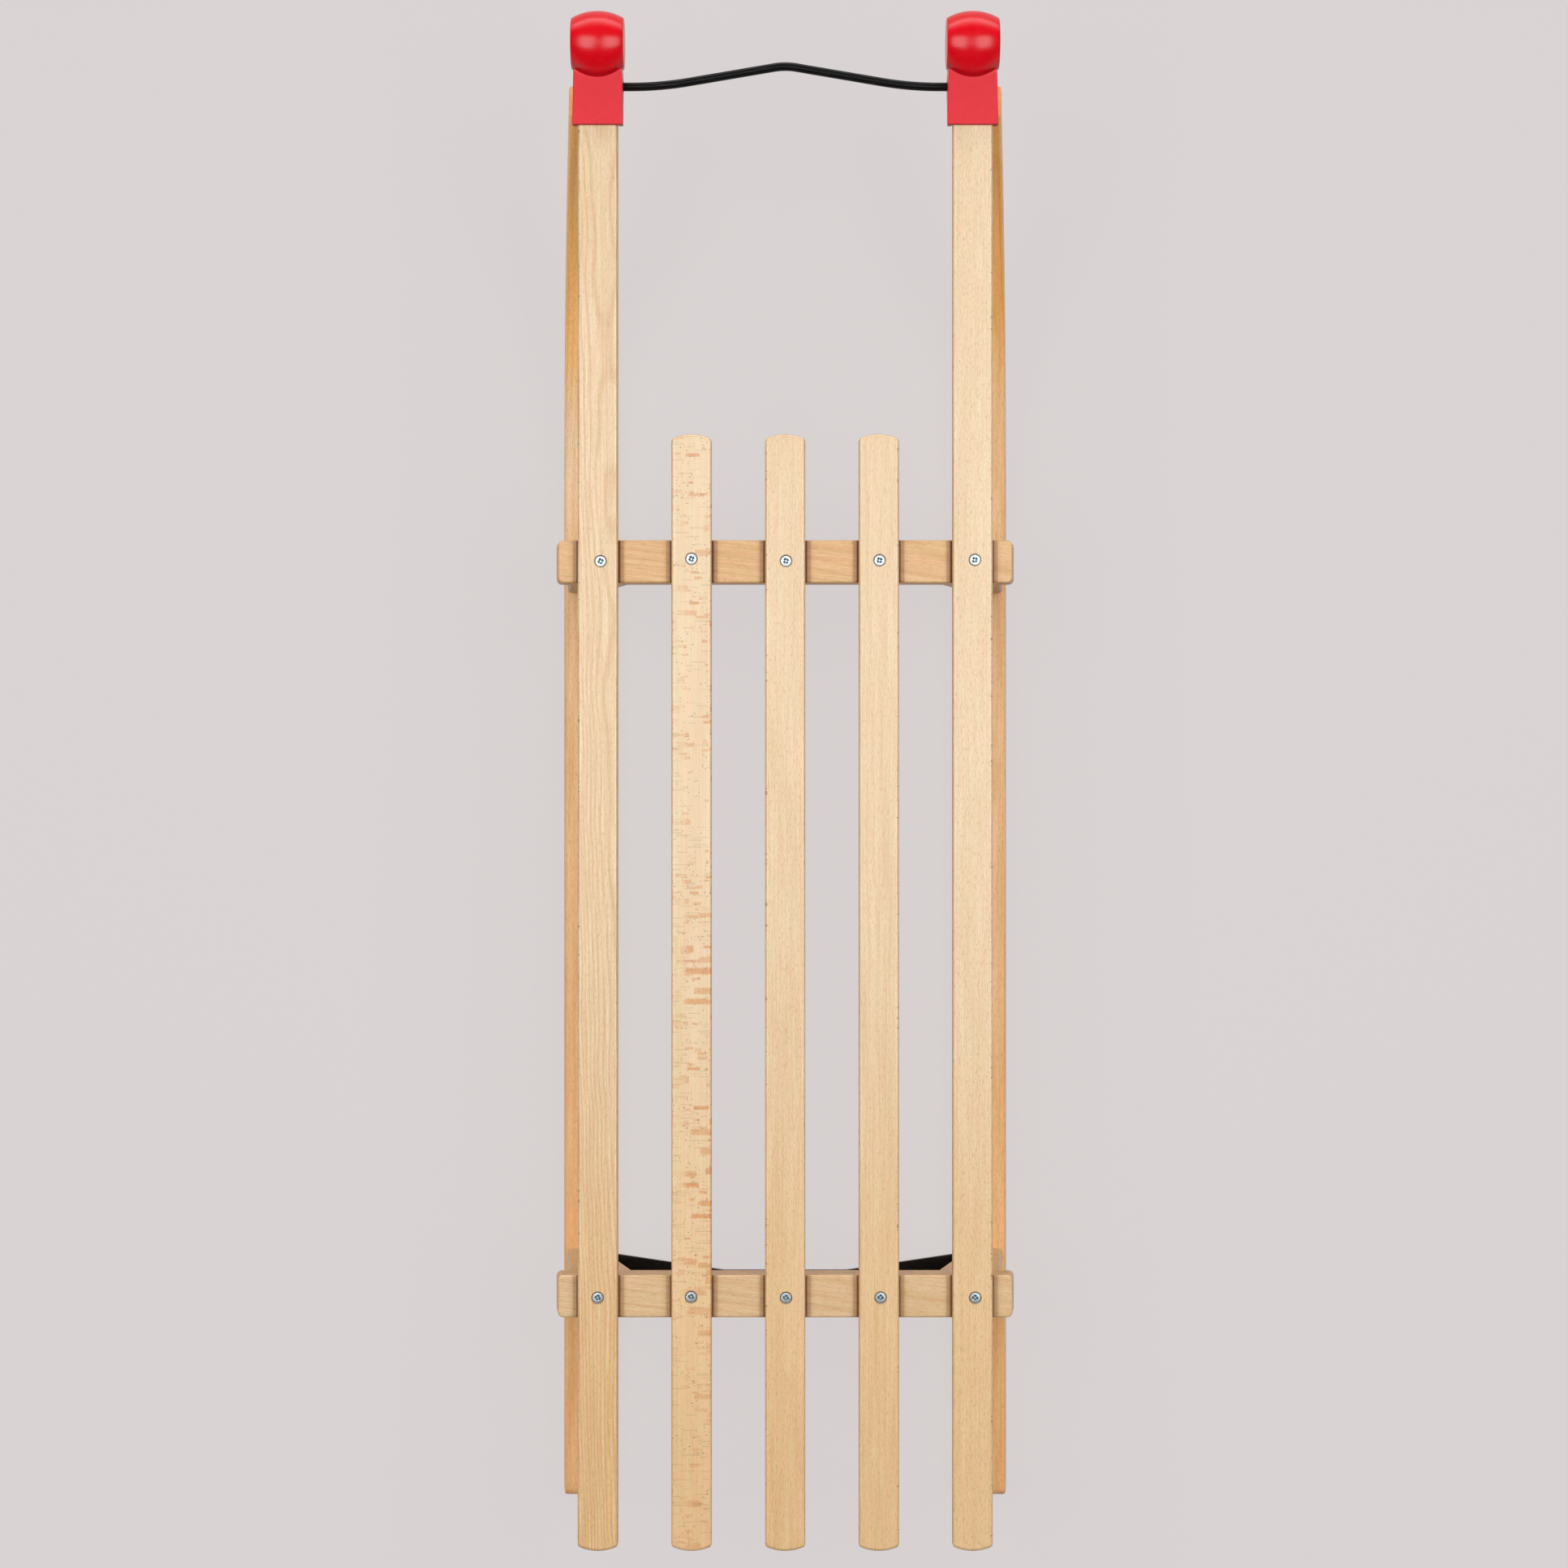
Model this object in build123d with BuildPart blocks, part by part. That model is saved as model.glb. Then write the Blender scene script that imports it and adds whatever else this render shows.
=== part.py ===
"""A wooden sled: five seat slats on two legged crosspieces, two bent runners, end caps and a pull bar.

Frame: +X to the rider's right, +Y forward, +Z up, the floor at Z = 0. All sizes are millimetres.
"""

import math
import os

from build123d import *

os.makedirs("parts", exist_ok=True)

# ---------------------------------------------------------------- driving sizes
LENGTH = 1150.0  # overall, slat tails to cap noses
SEAT_Z = 215.0  # top of the slats
SLAT_WIDTH = 30.0
SLAT_THICK = 11.0
SLAT_PITCH = 70.0  # centre to centre
SLAT_BOW = 3.5  # how far a slat's end arcs out in plan
EDGE = 2.0  # worn-down wooden edges
SLAT_FRONT = 259.0  # where the three inner slats end

CROSS_FRONT_Y = 164.5
CROSS_REAR_Y = -386.0
CROSS_WIDTH = 32.0
CROSS_HEIGHT = 28.0
CROSS_HALF_TOP = 169.5  # the ends slope out going down
CROSS_HALF_BOTTOM = 173.0

RUNNER_TILT = 4.6  # degrees, the runners lean in towards the seat
RUNNER_WIDE = 30.0
RUNNER_TALL = 34.0
RUNNER_REAR = -567.0
RUNNER_MID_X = 162.8  # middle of the runner where it meets the snow
BEND_RADIUS = 345.0  # of the runner's underside
BEND_ANGLE = 50.0
TIP_Y = 544.0  # foremost point of the runner, at the underside of the slat

SHOE_WIDE = 25.0
SHOE_THICK = 3.0

LEG_DEEP = 30.0  # along the sled
TENON_X = 32.0
TENON_Y = 14.0
TENON_TALL = 18.0
FOOT_TENON = 20.0

CAP_HALF = 19.0
CAP_MOUTH_Y = 489.5
CAP_TOP = 4.0  # plastic above the slat
CAP_FOOT = 30.0  # how far the cap reaches down the runner
NOSE_RADIUS = 24.5
NOSE_END_RADIUS = 19.0
NOSE_HALF = 19.75
NOSE_FLAT = 6.5  # half the width of the nose's full middle
NOSE_Z = 212.0

BAR_RADIUS = 3.25
BAR_Y = 521.6  # at the caps
BAR_BOW = 15.4  # how far the bar's middle is ahead of its ends
BAR_Z = 196.0

STRAP_WIDE = 20.0
STRAP_THICK = 3.0

# ---------------------------------------------------------------- derived sizes
HALF = LENGTH / 2
SLAT_Z = SEAT_Z - SLAT_THICK  # underside of the slats, top of the crosspieces
CROSS_Z = SLAT_Z - CROSS_HEIGHT  # underside of the crosspieces
OUTER_X = 2 * SLAT_PITCH
CROSS_YS = (CROSS_FRONT_Y, CROSS_REAR_Y)
SLAT_XS = (-OUTER_X, -SLAT_PITCH, 0.0, SLAT_PITCH, OUTER_X)
TILT = math.radians(RUNNER_TILT)
GROUND = SHOE_WIDE / 2 * math.sin(TILT)  # lifts the leaning shoe so that its inner edge is at Z = 0
FLAT_TO = TIP_Y - BEND_RADIUS * math.sin(math.radians(BEND_ANGLE)) - (
    (SLAT_Z - GROUND) / math.cos(TILT) - SHOE_THICK - BEND_RADIUS * (1 - math.cos(math.radians(BEND_ANGLE)))
) / math.tan(math.radians(BEND_ANGLE))


def runner_plane(side):
    """The middle plane of a runner: sketch x is the sled's +Y, sketch y runs up the leaning runner."""
    return Plane(
        origin=(side * RUNNER_MID_X, 0, GROUND),
        x_dir=(0, 1, 0),
        z_dir=(math.cos(TILT), 0, side * math.sin(TILT)),
    )


def on_runner(side, out, up):
    """World X and Z of a point so far outwards and upwards in the leaning runner's own directions."""
    x = side * (RUNNER_MID_X + out * math.cos(TILT) - up * math.sin(TILT))
    return x, GROUND + out * math.sin(TILT) + up * math.cos(TILT)


def save(part, name):
    part.label = name
    export_step(part, f"parts/{name}.step")
    print(name, round(part.volume / 1000, 1), "cm3")


# ---------------------------------------------------------------- slats
def make_slat(name, x, front, capped):
    w = SLAT_WIDTH / 2
    with BuildPart() as slat:
        with BuildSketch(Plane.XY.offset(SLAT_Z)) as outline:
            with BuildLine():
                rear = ThreePointArc(
                    (x - w, -HALF + SLAT_BOW), (x, -HALF), (x + w, -HALF + SLAT_BOW)
                )
                if capped:
                    nose = Line((x + w, front), (x - w, front))
                else:
                    nose = ThreePointArc(
                        (x + w, front - SLAT_BOW), (x, front), (x - w, front - SLAT_BOW)
                    )
                Line(rear @ 1, nose @ 0)
                Line(nose @ 1, rear @ 0)
            make_face()
            tails = outline.vertices().sort_by(Axis.Y)
            fillet(tails[:2] if capped else tails, 3)
        extrude(amount=SLAT_THICK)
        chamfer(slat.faces().sort_by(Axis.Z)[-1].edges(), EDGE)
        chamfer(slat.faces().sort_by(Axis.Z)[0].edges(), EDGE / 2)
        with Locations(*[(x, y, SEAT_Z) for y in CROSS_YS]):
            CounterSinkHole(radius=2.3, counter_sink_radius=4.7, counter_sink_angle=90)
    save(slat.part, name)


make_slat("slat_outer_left", SLAT_XS[0], 545.0, True)
make_slat("slat_inner_left", SLAT_XS[1], SLAT_FRONT, False)
make_slat("slat_centre", SLAT_XS[2], SLAT_FRONT, False)
make_slat("slat_inner_right", SLAT_XS[3], SLAT_FRONT, False)
make_slat("slat_outer_right", SLAT_XS[4], 545.0, True)


# ---------------------------------------------------------------- crosspieces
def make_crosspiece(name, y):
    with BuildPart() as cross:
        with BuildSketch(Plane.XZ.offset(-y)):
            with BuildLine():
                Polyline(
                    (-CROSS_HALF_BOTTOM, CROSS_Z),
                    (CROSS_HALF_BOTTOM, CROSS_Z),
                    (CROSS_HALF_TOP, SLAT_Z),
                    (-CROSS_HALF_TOP, SLAT_Z),
                    close=True,
                )
            make_face()
        extrude(amount=CROSS_WIDTH / 2, both=True)
        ends = cross.faces().sort_by(Axis.X)
        corners = (ends[0].edges() + ends[-1].edges()).filter_by(
            lambda e: abs((e % 0.5).Z) > 0.9
        )
        fillet(corners, 4)
        chamfer(cross.faces().sort_by(Axis.Z)[-1].edges(), EDGE)
        # blind mortises for the legs, open below
        with BuildSketch(Plane.XY.offset(CROSS_Z)):
            with Locations((-OUTER_X, y), (OUTER_X, y)):
                Rectangle(TENON_X, TENON_Y)
        extrude(amount=TENON_TALL, mode=Mode.SUBTRACT)
    save(cross.part, name)


make_crosspiece("crosspiece_front", CROSS_FRONT_Y)
make_crosspiece("crosspiece_rear", CROSS_REAR_Y)


# ---------------------------------------------------------------- runners and their steel shoes
def runner_profile(low, high, rear, reach):
    """The closed side view between two heights of the runner: flat, bent up, then straight."""
    with BuildLine() as profile:
        flat_low = Line((rear, low), (FLAT_TO, low))
        bend_low = JernArc(flat_low @ 1, flat_low % 1, BEND_RADIUS + SHOE_THICK - low, BEND_ANGLE)
        rise_low = PolarLine(bend_low @ 1, reach, direction=bend_low % 1)
        flat_high = Line((rear, high), (FLAT_TO, high))
        bend_high = JernArc(flat_high @ 1, flat_high % 1, BEND_RADIUS + SHOE_THICK - high, BEND_ANGLE)
        rise_high = PolarLine(bend_high @ 1, reach, direction=bend_high % 1)
        Line(flat_low @ 0, flat_high @ 0)
        Line(rise_low @ 1, rise_high @ 1)
    return profile.line


def foot_plane(side):
    """The plane of the cap's lower mouth, square to the rising runner. Its normal runs up the runner."""
    angle = math.radians(BEND_ANGLE)
    up = Vector(-side * math.sin(TILT), 0, math.cos(TILT))
    along = Vector(0, 1, 0) * math.cos(angle) + up * math.sin(angle)
    x, z = on_runner(side, 0, (SLAT_Z - GROUND) / math.cos(TILT))
    tip = Vector(x, TIP_Y, z)
    return Plane(origin=tip - along * CAP_FOOT, x_dir=(math.cos(TILT), 0, side * math.sin(TILT)), z_dir=along)


def make_tongue(side):
    """The narrowed tip of the runner, from the cap's lower mouth up to the slat."""
    with BuildPart() as tongue:
        with BuildSketch(runner_plane(side)):
            add(runner_profile(SHOE_THICK, SHOE_THICK + RUNNER_TALL, RUNNER_REAR, 140))
            make_face()
        extrude(amount=RUNNER_WIDE, both=True)
        with BuildSketch(foot_plane(side)):
            Rectangle(200, 200)
        extrude(amount=120, mode=Mode.INTERSECT)
        with BuildSketch(Plane.XY.offset(SLAT_Z)):
            with Locations((side * (OUTER_X + 4.5), TIP_Y - 40)):
                Rectangle(20, 200)
        extrude(amount=-120, mode=Mode.INTERSECT)
        with Locations(Pos(side * 134, BAR_Y, BAR_Z) * Rot(0, -side * 90, 0)):
            Hole(radius=BAR_RADIUS + 0.15, depth=14)
    return tongue.part


def make_runner(name, side, tongue):
    with BuildPart() as runner:
        with BuildSketch(runner_plane(side)) as section:
            add(runner_profile(SHOE_THICK, SHOE_THICK + RUNNER_TALL, RUNNER_REAR, 140))
            make_face()
            heel = section.vertices().sort_by(Axis.X)[:2].sort_by(Axis.Y)
            fillet(heel[0], 14)
            fillet(heel[1], 5)
        extrude(amount=RUNNER_WIDE / 2, both=True)
        sides = runner.faces().filter_by(Axis(Vector(0, 0, 0), runner_plane(side).z_dir))
        chamfer(sides.edges(), EDGE)
        with BuildSketch(foot_plane(side)):
            Rectangle(200, 200)
        extrude(amount=200, mode=Mode.SUBTRACT)
        add(tongue)
        # mortises for the feet of the legs
        x, z = on_runner(side, -1, SHOE_THICK + RUNNER_TALL)
        top = Plane(origin=(x, 0, z), x_dir=(0, 1, 0), z_dir=(-side * math.sin(TILT), 0, math.cos(TILT)))
        with BuildSketch(top):
            with Locations(*[(y, 0) for y in CROSS_YS]):
                Rectangle(18, 15)
        extrude(amount=-FOOT_TENON, mode=Mode.SUBTRACT)
    save(runner.part, name)


def make_shoe(name, side):
    with BuildPart() as shoe:
        with BuildSketch(runner_plane(side)):
            add(runner_profile(0, SHOE_THICK, RUNNER_REAR + 14, 50))
            make_face()
        extrude(amount=SHOE_WIDE / 2, both=True)
    save(shoe.part, name)


# ---------------------------------------------------------------- legs
def make_leg(name, side, y):
    foot_in = on_runner(side, -14.5, SHOE_THICK + RUNNER_TALL)
    foot_out = on_runner(side, 12.5, SHOE_THICK + RUNNER_TALL)
    with BuildPart() as leg:
        with BuildSketch(Plane.XZ.offset(-y)):
            with BuildLine():
                Polyline(foot_in, foot_out, (side * 164.5, CROSS_Z), (side * 113.5, CROSS_Z), close=True)
            make_face()
        extrude(amount=LEG_DEEP / 2, both=True)
        long_edges = leg.edges().filter_by(lambda e: abs((e % 0.5).Z) > 0.9)
        chamfer(long_edges, EDGE)
        # tenon up into the crosspiece
        with BuildSketch(Plane.XY.offset(CROSS_Z)):
            with Locations((side * OUTER_X, y)):
                Rectangle(TENON_X, TENON_Y)
        extrude(amount=TENON_TALL)
        # tenon down into the leaning runner
        x, z = on_runner(side, -1, SHOE_THICK + RUNNER_TALL)
        top = Plane(origin=(x, 0, z), x_dir=(0, 1, 0), z_dir=(-side * math.sin(TILT), 0, math.cos(TILT)))
        with BuildSketch(top):
            with Locations((y, 0)):
                Rectangle(18, 15)
        extrude(amount=-FOOT_TENON)
    save(leg.part, name)


# ---------------------------------------------------------------- end caps
def make_cap(name, side, tongue):
    angle = math.radians(BEND_ANGLE)
    down = Vector(-math.cos(angle), -math.sin(angle))
    out = Vector(math.sin(angle), -math.cos(angle))
    tip = Vector(TIP_Y, SLAT_Z)
    low_front = tip + down * (CAP_FOOT + 10) + out * 4
    low_rear = tip + down * (CAP_FOOT + 10) - out * (RUNNER_TALL + 4)
    with BuildPart() as cap:
        # sleeve and skirt, one side view
        with BuildSketch(Plane.YZ.offset(side * OUTER_X)):
            with BuildLine():
                Polyline(
                    (CAP_MOUTH_Y, SEAT_Z + CAP_TOP),
                    (TIP_Y, SEAT_Z + CAP_TOP),
                    (TIP_Y + 12, SLAT_Z + 6),
                    (low_front.X, low_front.Y),
                    (low_rear.X, low_rear.Y),
                    (CAP_MOUTH_Y, low_rear.Y + 4),
                    close=True,
                )
            make_face()
        extrude(amount=CAP_HALF, both=True)
        with BuildSketch(foot_plane(side)):
            Rectangle(200, 200)
        extrude(amount=120, mode=Mode.INTERSECT)
        with BuildSketch(Plane.YZ.offset(side * OUTER_X - 60)):
            with Locations((CAP_MOUTH_Y - 50, SLAT_Z)):
                Rectangle(100, 200)
        extrude(amount=120, mode=Mode.SUBTRACT)
        # rolled nose, fuller in the middle
        x0 = side * OUTER_X
        axle = HALF - NOSE_RADIUS
        with BuildSketch(Plane.XY.offset(NOSE_Z)):
            with BuildLine():
                Polyline(
                    (x0 - NOSE_HALF, axle),
                    (x0 - NOSE_HALF, axle + NOSE_END_RADIUS),
                    (x0 - NOSE_FLAT, HALF),
                    (x0 + NOSE_FLAT, HALF),
                    (x0 + NOSE_HALF, axle + NOSE_END_RADIUS),
                    (x0 + NOSE_HALF, axle),
                    close=True,
                )
            make_face()
        revolve(axis=Axis((0, axle, NOSE_Z), (1, 0, 0)), revolution_arc=360)
        # the seat of the slat, the seat of the runner's tongue and the hole of the pull bar
        with BuildSketch(Plane.XY.offset(SLAT_Z)):
            with Locations((side * OUTER_X, 545 - 60)):
                Rectangle(SLAT_WIDTH, 120)
        extrude(amount=SLAT_THICK, mode=Mode.SUBTRACT)
        add(tongue, mode=Mode.SUBTRACT)
        with Locations(Pos(side * 110, BAR_Y, BAR_Z) * Rot(0, -side * 90, 0)):
            Hole(radius=BAR_RADIUS + 0.15, depth=38)
    save(cap.part, name)


# ---------------------------------------------------------------- pull bar
def make_bar():
    with BuildPart() as bar:
        with BuildLine() as path:
            Polyline(
                (-148, BAR_Y, BAR_Z),
                (-94, BAR_Y, BAR_Z),
                (0, BAR_Y + BAR_BOW + 0.2, BAR_Z),
                (94, BAR_Y, BAR_Z),
                (148, BAR_Y, BAR_Z),
            )
            bends = path.vertices().sort_by(Axis.X)
            fillet([bends[1], bends[3]], 120)
            fillet(path.vertices().sort_by(Axis.Y)[-1], 20)
        with BuildSketch(Plane(origin=(-148, BAR_Y, BAR_Z), z_dir=(1, 0, 0))):
            Circle(BAR_RADIUS)
        sweep()
    save(bar.part, "pull_bar")


# ---------------------------------------------------------------- braces
def make_brace(name, y):
    lean = math.atan2(144.9 - 113.5, CROSS_Z - 37)
    half = STRAP_THICK / 2

    def leg_face(z):
        """X of the strap's centre line where it lies on the inner face of the leg."""
        return 113.5 + (CROSS_Z - z) * math.tan(lean) - half / math.cos(lean)

    with BuildPart() as brace:
        with BuildSketch(Plane.XZ.offset(-(y + 6))):
            with BuildLine() as path:
                FilletPolyline(
                    (-leg_face(52), 52),
                    (-leg_face(78), 78),
                    (-47, CROSS_Z - half),
                    (47, CROSS_Z - half),
                    (leg_face(78), 78),
                    (leg_face(52), 52),
                    radius=6,
                )
            trace(line_width=STRAP_THICK)
        extrude(amount=STRAP_WIDE / 2, both=True)
    save(brace.part, name)


for side, hand in ((-1, "left"), (1, "right")):
    tongue = make_tongue(side)
    make_runner(f"runner_{hand}", side, tongue)
    make_shoe(f"shoe_{hand}", side)
    make_cap(f"cap_{hand}", side, tongue)
    make_leg(f"leg_front_{hand}", side, CROSS_FRONT_Y)
    make_leg(f"leg_rear_{hand}", side, CROSS_REAR_Y)

make_bar()
make_brace("brace_front", CROSS_FRONT_Y)
make_brace("brace_rear", CROSS_REAR_Y)
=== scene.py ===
# %% [markdown]
# # A wooden sled, dressed for its picture
#
# The sled is a two-seater of steamed beech: five seat slats screwed to two legged crosspieces, two
# bent runners with steel under them, a red moulded cap where each runner meets its slat, and a
# black pull bar between the caps. Its construction comes ready made as a fixed frame of exact
# solids. This script gives each solid its looks: worn round edges, lacquered grain, moulded
# plastic, paint and screws. Lengths are metres, X is the rider's right, Y is forward and Z is up.

# %% load the frame
import math

import bmesh
import bpy
from mathutils import Matrix, Vector


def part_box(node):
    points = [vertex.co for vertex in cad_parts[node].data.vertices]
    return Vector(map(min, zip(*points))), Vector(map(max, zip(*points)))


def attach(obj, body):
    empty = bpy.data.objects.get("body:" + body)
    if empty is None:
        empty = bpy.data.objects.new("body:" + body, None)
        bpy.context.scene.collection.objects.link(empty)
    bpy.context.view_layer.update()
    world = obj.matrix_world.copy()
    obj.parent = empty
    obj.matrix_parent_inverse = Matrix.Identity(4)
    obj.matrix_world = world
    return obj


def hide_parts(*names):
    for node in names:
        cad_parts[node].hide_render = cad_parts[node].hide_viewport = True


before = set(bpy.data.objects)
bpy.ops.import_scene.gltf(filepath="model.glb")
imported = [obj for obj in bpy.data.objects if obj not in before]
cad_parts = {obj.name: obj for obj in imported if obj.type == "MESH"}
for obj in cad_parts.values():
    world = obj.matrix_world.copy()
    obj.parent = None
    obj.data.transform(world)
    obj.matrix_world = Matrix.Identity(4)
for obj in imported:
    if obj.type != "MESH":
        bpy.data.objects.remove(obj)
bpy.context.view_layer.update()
mm = 0.001

# %% [markdown]
# ## The camera
#
# The sled is seen from straight above, from far enough away that its sides hardly show. A long
# lens a little under three metres up does that. Pointing down needs no rotation at all, because a
# new camera looks along -Z with +Y at the top of its picture.

# %% camera
CAMERA_PLACE = (-0.9 * mm, -2.2 * mm, 2.965)
LENS = 84.6

lens = bpy.data.cameras.new("camera")
lens.lens = LENS
lens.sensor_width = 36
lens.clip_end = 50
camera = bpy.data.objects.new("camera", lens)
camera.location = CAMERA_PLACE
bpy.context.scene.collection.objects.link(camera)
bpy.context.scene.camera = camera
bpy.context.scene.view_settings.view_transform = "Standard"
print("camera", LENS, "mm lens at", CAMERA_PLACE[2], "m")

# %% [markdown]
# ## Arithmetic on sockets
#
# A finish is a net of shader nodes, and most of them are sums. Wrapping an output socket in a
# class with Python's own operators lets the sums be written as sums: each operator adds one Math
# node. Colours never go that way, because a Math node would turn them grey.

# %% the socket class
class Wire:
    """One output of a node. Arithmetic on it adds Math nodes."""

    def __init__(self, net, socket):
        self.net = net
        self.socket = socket

    def math(self, operation, *others):
        return self.net.node("ShaderNodeMath", {"operation": operation}, (self, *others))

    def __add__(self, other):
        return self.math("ADD", other)

    def __sub__(self, other):
        return self.math("SUBTRACT", other)

    def __rsub__(self, other):
        return self.net.node("ShaderNodeMath", {"operation": "SUBTRACT"}, (other, self))

    def __mul__(self, other):
        return self.math("MULTIPLY", other)

    def __truediv__(self, other):
        return self.math("DIVIDE", other)

    def __abs__(self):
        return self.math("ABSOLUTE")

    __radd__ = __add__
    __rmul__ = __mul__

    def rise(self, start, end):
        """0 below start, 1 above end and a smooth step between them; end may be the lower one."""
        settings = {"interpolation_type": "SMOOTHSTEP"}
        return self.net.node("ShaderNodeMapRange", settings, {0: self, 1: start, 2: end})


print("the socket class is ready")

# %% the net class
class Net:
    """The node tree of a material or of the world. node() adds any node and wires it up."""

    def __init__(self, owner):
        owner.use_nodes = True
        self.tree = owner.node_tree
        self.tree.nodes.clear()

    def node(self, kind, settings=None, inputs=(), out=0):
        made = self.tree.nodes.new(kind)
        for name, value in (settings or {}).items():
            setattr(made, name, value)
        pairs = inputs.items() if isinstance(inputs, dict) else enumerate(inputs)
        for key, value in pairs:
            socket = made.inputs[key]
            if isinstance(value, Wire):
                self.tree.links.new(value.socket, socket)
            elif hasattr(value, "__len__") and len(socket.default_value) > len(value):
                socket.default_value = (*value, 1.0)
            else:
                socket.default_value = value
        return Wire(self, made.outputs[out]) if len(made.outputs) else None

    def vector(self, x, y, z):
        return self.node("ShaderNodeCombineXYZ", None, (x, y, z))

    def split(self, vector):
        made = self.node("ShaderNodeSeparateXYZ", None, (vector,)).socket.node
        return [Wire(self, output) for output in made.outputs]

    def mix(self, factor, first, second, blend="MIX"):
        settings = {"data_type": "RGBA", "blend_type": blend}
        return self.node("ShaderNodeMix", settings, {0: factor, 6: first, 7: second}, 2)

    def tint(self, factor, colour, by):
        """The colour multiplied by another one, as far as the factor says."""
        return self.mix(factor, colour, by, "MULTIPLY")

    def noise(self, x, y, z, detail=2.0):
        inputs = {"Vector": self.vector(x, y, z), "Scale": 1.0, "Detail": detail}
        return self.node("ShaderNodeTexNoise", None, inputs)

    def bump(self, height, strength, distance):
        inputs = {"Strength": strength, "Distance": distance, "Height": height}
        return self.node("ShaderNodeBump", None, inputs)

    def principled(self, inputs):
        """Ends the net of a material: one Principled shader with these inputs."""
        shader = self.node("ShaderNodeBsdfPrincipled", None, inputs)
        self.node("ShaderNodeOutputMaterial", None, {"Surface": shader})

    def place(self):
        """X, Y and Z of the surface in the sled's frame, in millimetres."""
        here = self.node("ShaderNodeTexCoord", None, (), "Object")
        scaled = self.node("ShaderNodeVectorMath", {"operation": "SCALE"}, {0: here, "Scale": 1000})
        return self.split(scaled)

    def facing(self):
        """X, Y and Z of the direction that the surface faces."""
        return self.split(self.node("ShaderNodeNewGeometry", None, (), "Normal"))


print("the net class is ready")

# %% a new material
def new_material(name):
    """An empty material, and the net to fill it with."""
    material = bpy.data.materials.new(name)
    return material, Net(material)


print("materials so far", len(bpy.data.materials))

# %% [markdown]
# ## The studio
#
# The sled lies on a plain pale floor under two large soft boxes, one on each side of the camera.
# Each slat then shades the crosspiece beneath it on both sides, and each round cap shows two soft
# lights with a darker gap between them. Their gloss slides over the lacquer of the front half of
# the slats and dies out towards the tails.
#
# The room is pale low down, like a paper sweep, dark above and behind the sled, and brightest low
# ahead of it, where a wide window would be. The window lifts the shaded sides, and the fronts of
# the caps mirror it. The camera sees none of this: past the floor it finds one even pale tone.
#
# The floor has to look the same tone all over and still hold a shadow. Its shader is part paint,
# which takes the shadow, and part glow, which only the camera and mirror-like surfaces see. Far
# out there is no shadow to hold, so the floor becomes all glow and meets the room unseen.

# %% floor
FLOOR_TONE = (0.701, 0.658, 0.658)
FLOOR_GLOW = 0.89
FLOOR_SIZE = 80.0
GLOW_REACH = (1200, 6000)  # mm from the sled, where the shadow's paint gives way to glow


def make_floor():
    mesh = bpy.data.meshes.new("floor")
    half = FLOOR_SIZE / 2
    corners = [(-half, -half, 0), (half, -half, 0), (half, half, 0), (-half, half, 0)]
    mesh.from_pydata(corners, [], [(0, 1, 2, 3)])
    floor = bpy.data.objects.new("floor", mesh)
    bpy.context.scene.collection.objects.link(floor)
    paper, net = new_material("studio_paper")
    kinds = ("Camera", "Glossy", "Transmission")
    rays = [net.node("ShaderNodeLightPath", None, (), f"Is {kind} Ray") for kind in kinds]
    seen = (rays[0] + rays[1] + rays[2]).math("MINIMUM", 1.0)
    paint = net.node("ShaderNodeBsdfDiffuse", None, {"Color": FLOOR_TONE})
    glow = net.node("ShaderNodeEmission", None, {"Color": FLOOR_TONE, "Strength": 1.0})
    x, y = net.place()[:2]
    reach = (x * x + y * y).math("SQRT").rise(*GLOW_REACH)
    share = seen * (FLOOR_GLOW + (1 - FLOOR_GLOW) * reach)
    both = net.node("ShaderNodeMixShader", None, (share, paint, glow))
    net.node("ShaderNodeOutputMaterial", None, {"Surface": both})
    mesh.materials.append(paper)


make_floor()
print("floor", FLOOR_SIZE, "m across")

# %% room
CEILING_TONE = (0.07, 0.07, 0.075)
WINDOW_TONE = (4.6, 4.6, 4.7)


def make_room():
    world = bpy.data.worlds.new("room")
    bpy.context.scene.world = world
    net = Net(world)
    direction = net.node("ShaderNodeTexCoord", None, (), "Generated")
    ahead, height = net.split(direction)[1:]
    seen = net.node("ShaderNodeLightPath", None, (), "Is Camera Ray")
    window = ahead.rise(0.6, 0.9) * height.rise(0.62, 0.0) * height.rise(-0.05, 0.05) * (1 - seen)
    dim = height.rise(0.03, 0.32).math("MAXIMUM", ahead.rise(-0.3, -0.9) * 0.85)
    tone = net.mix(dim * (1 - seen), FLOOR_TONE, CEILING_TONE)
    tone = net.mix(window, tone, WINDOW_TONE)
    light = net.node("ShaderNodeBackground", None, {"Color": tone, "Strength": 1.0})
    net.node("ShaderNodeOutputWorld", None, {"Surface": light})


make_room()
print("window tone", WINDOW_TONE)

# %% lamps
def make_softbox(name, place, aim, size, power):
    lamp = bpy.data.lights.new(name, "AREA")
    lamp.shape = "RECTANGLE"
    lamp.size, lamp.size_y = size
    lamp.energy = power
    box = bpy.data.objects.new(name, lamp)
    box.location = place
    box.rotation_mode = "QUATERNION"
    box.rotation_quaternion = (Vector(aim) - Vector(place)).to_track_quat("-Z", "Y")
    bpy.context.scene.collection.objects.link(box)


BOX_APART = 1.45
BOX_SIZE = (2.1, 1.8)
BOX_POWER = 61.5
SPILL_SIZE = (1.1, 0.9)
SPILL_POWER = 4.6

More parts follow.
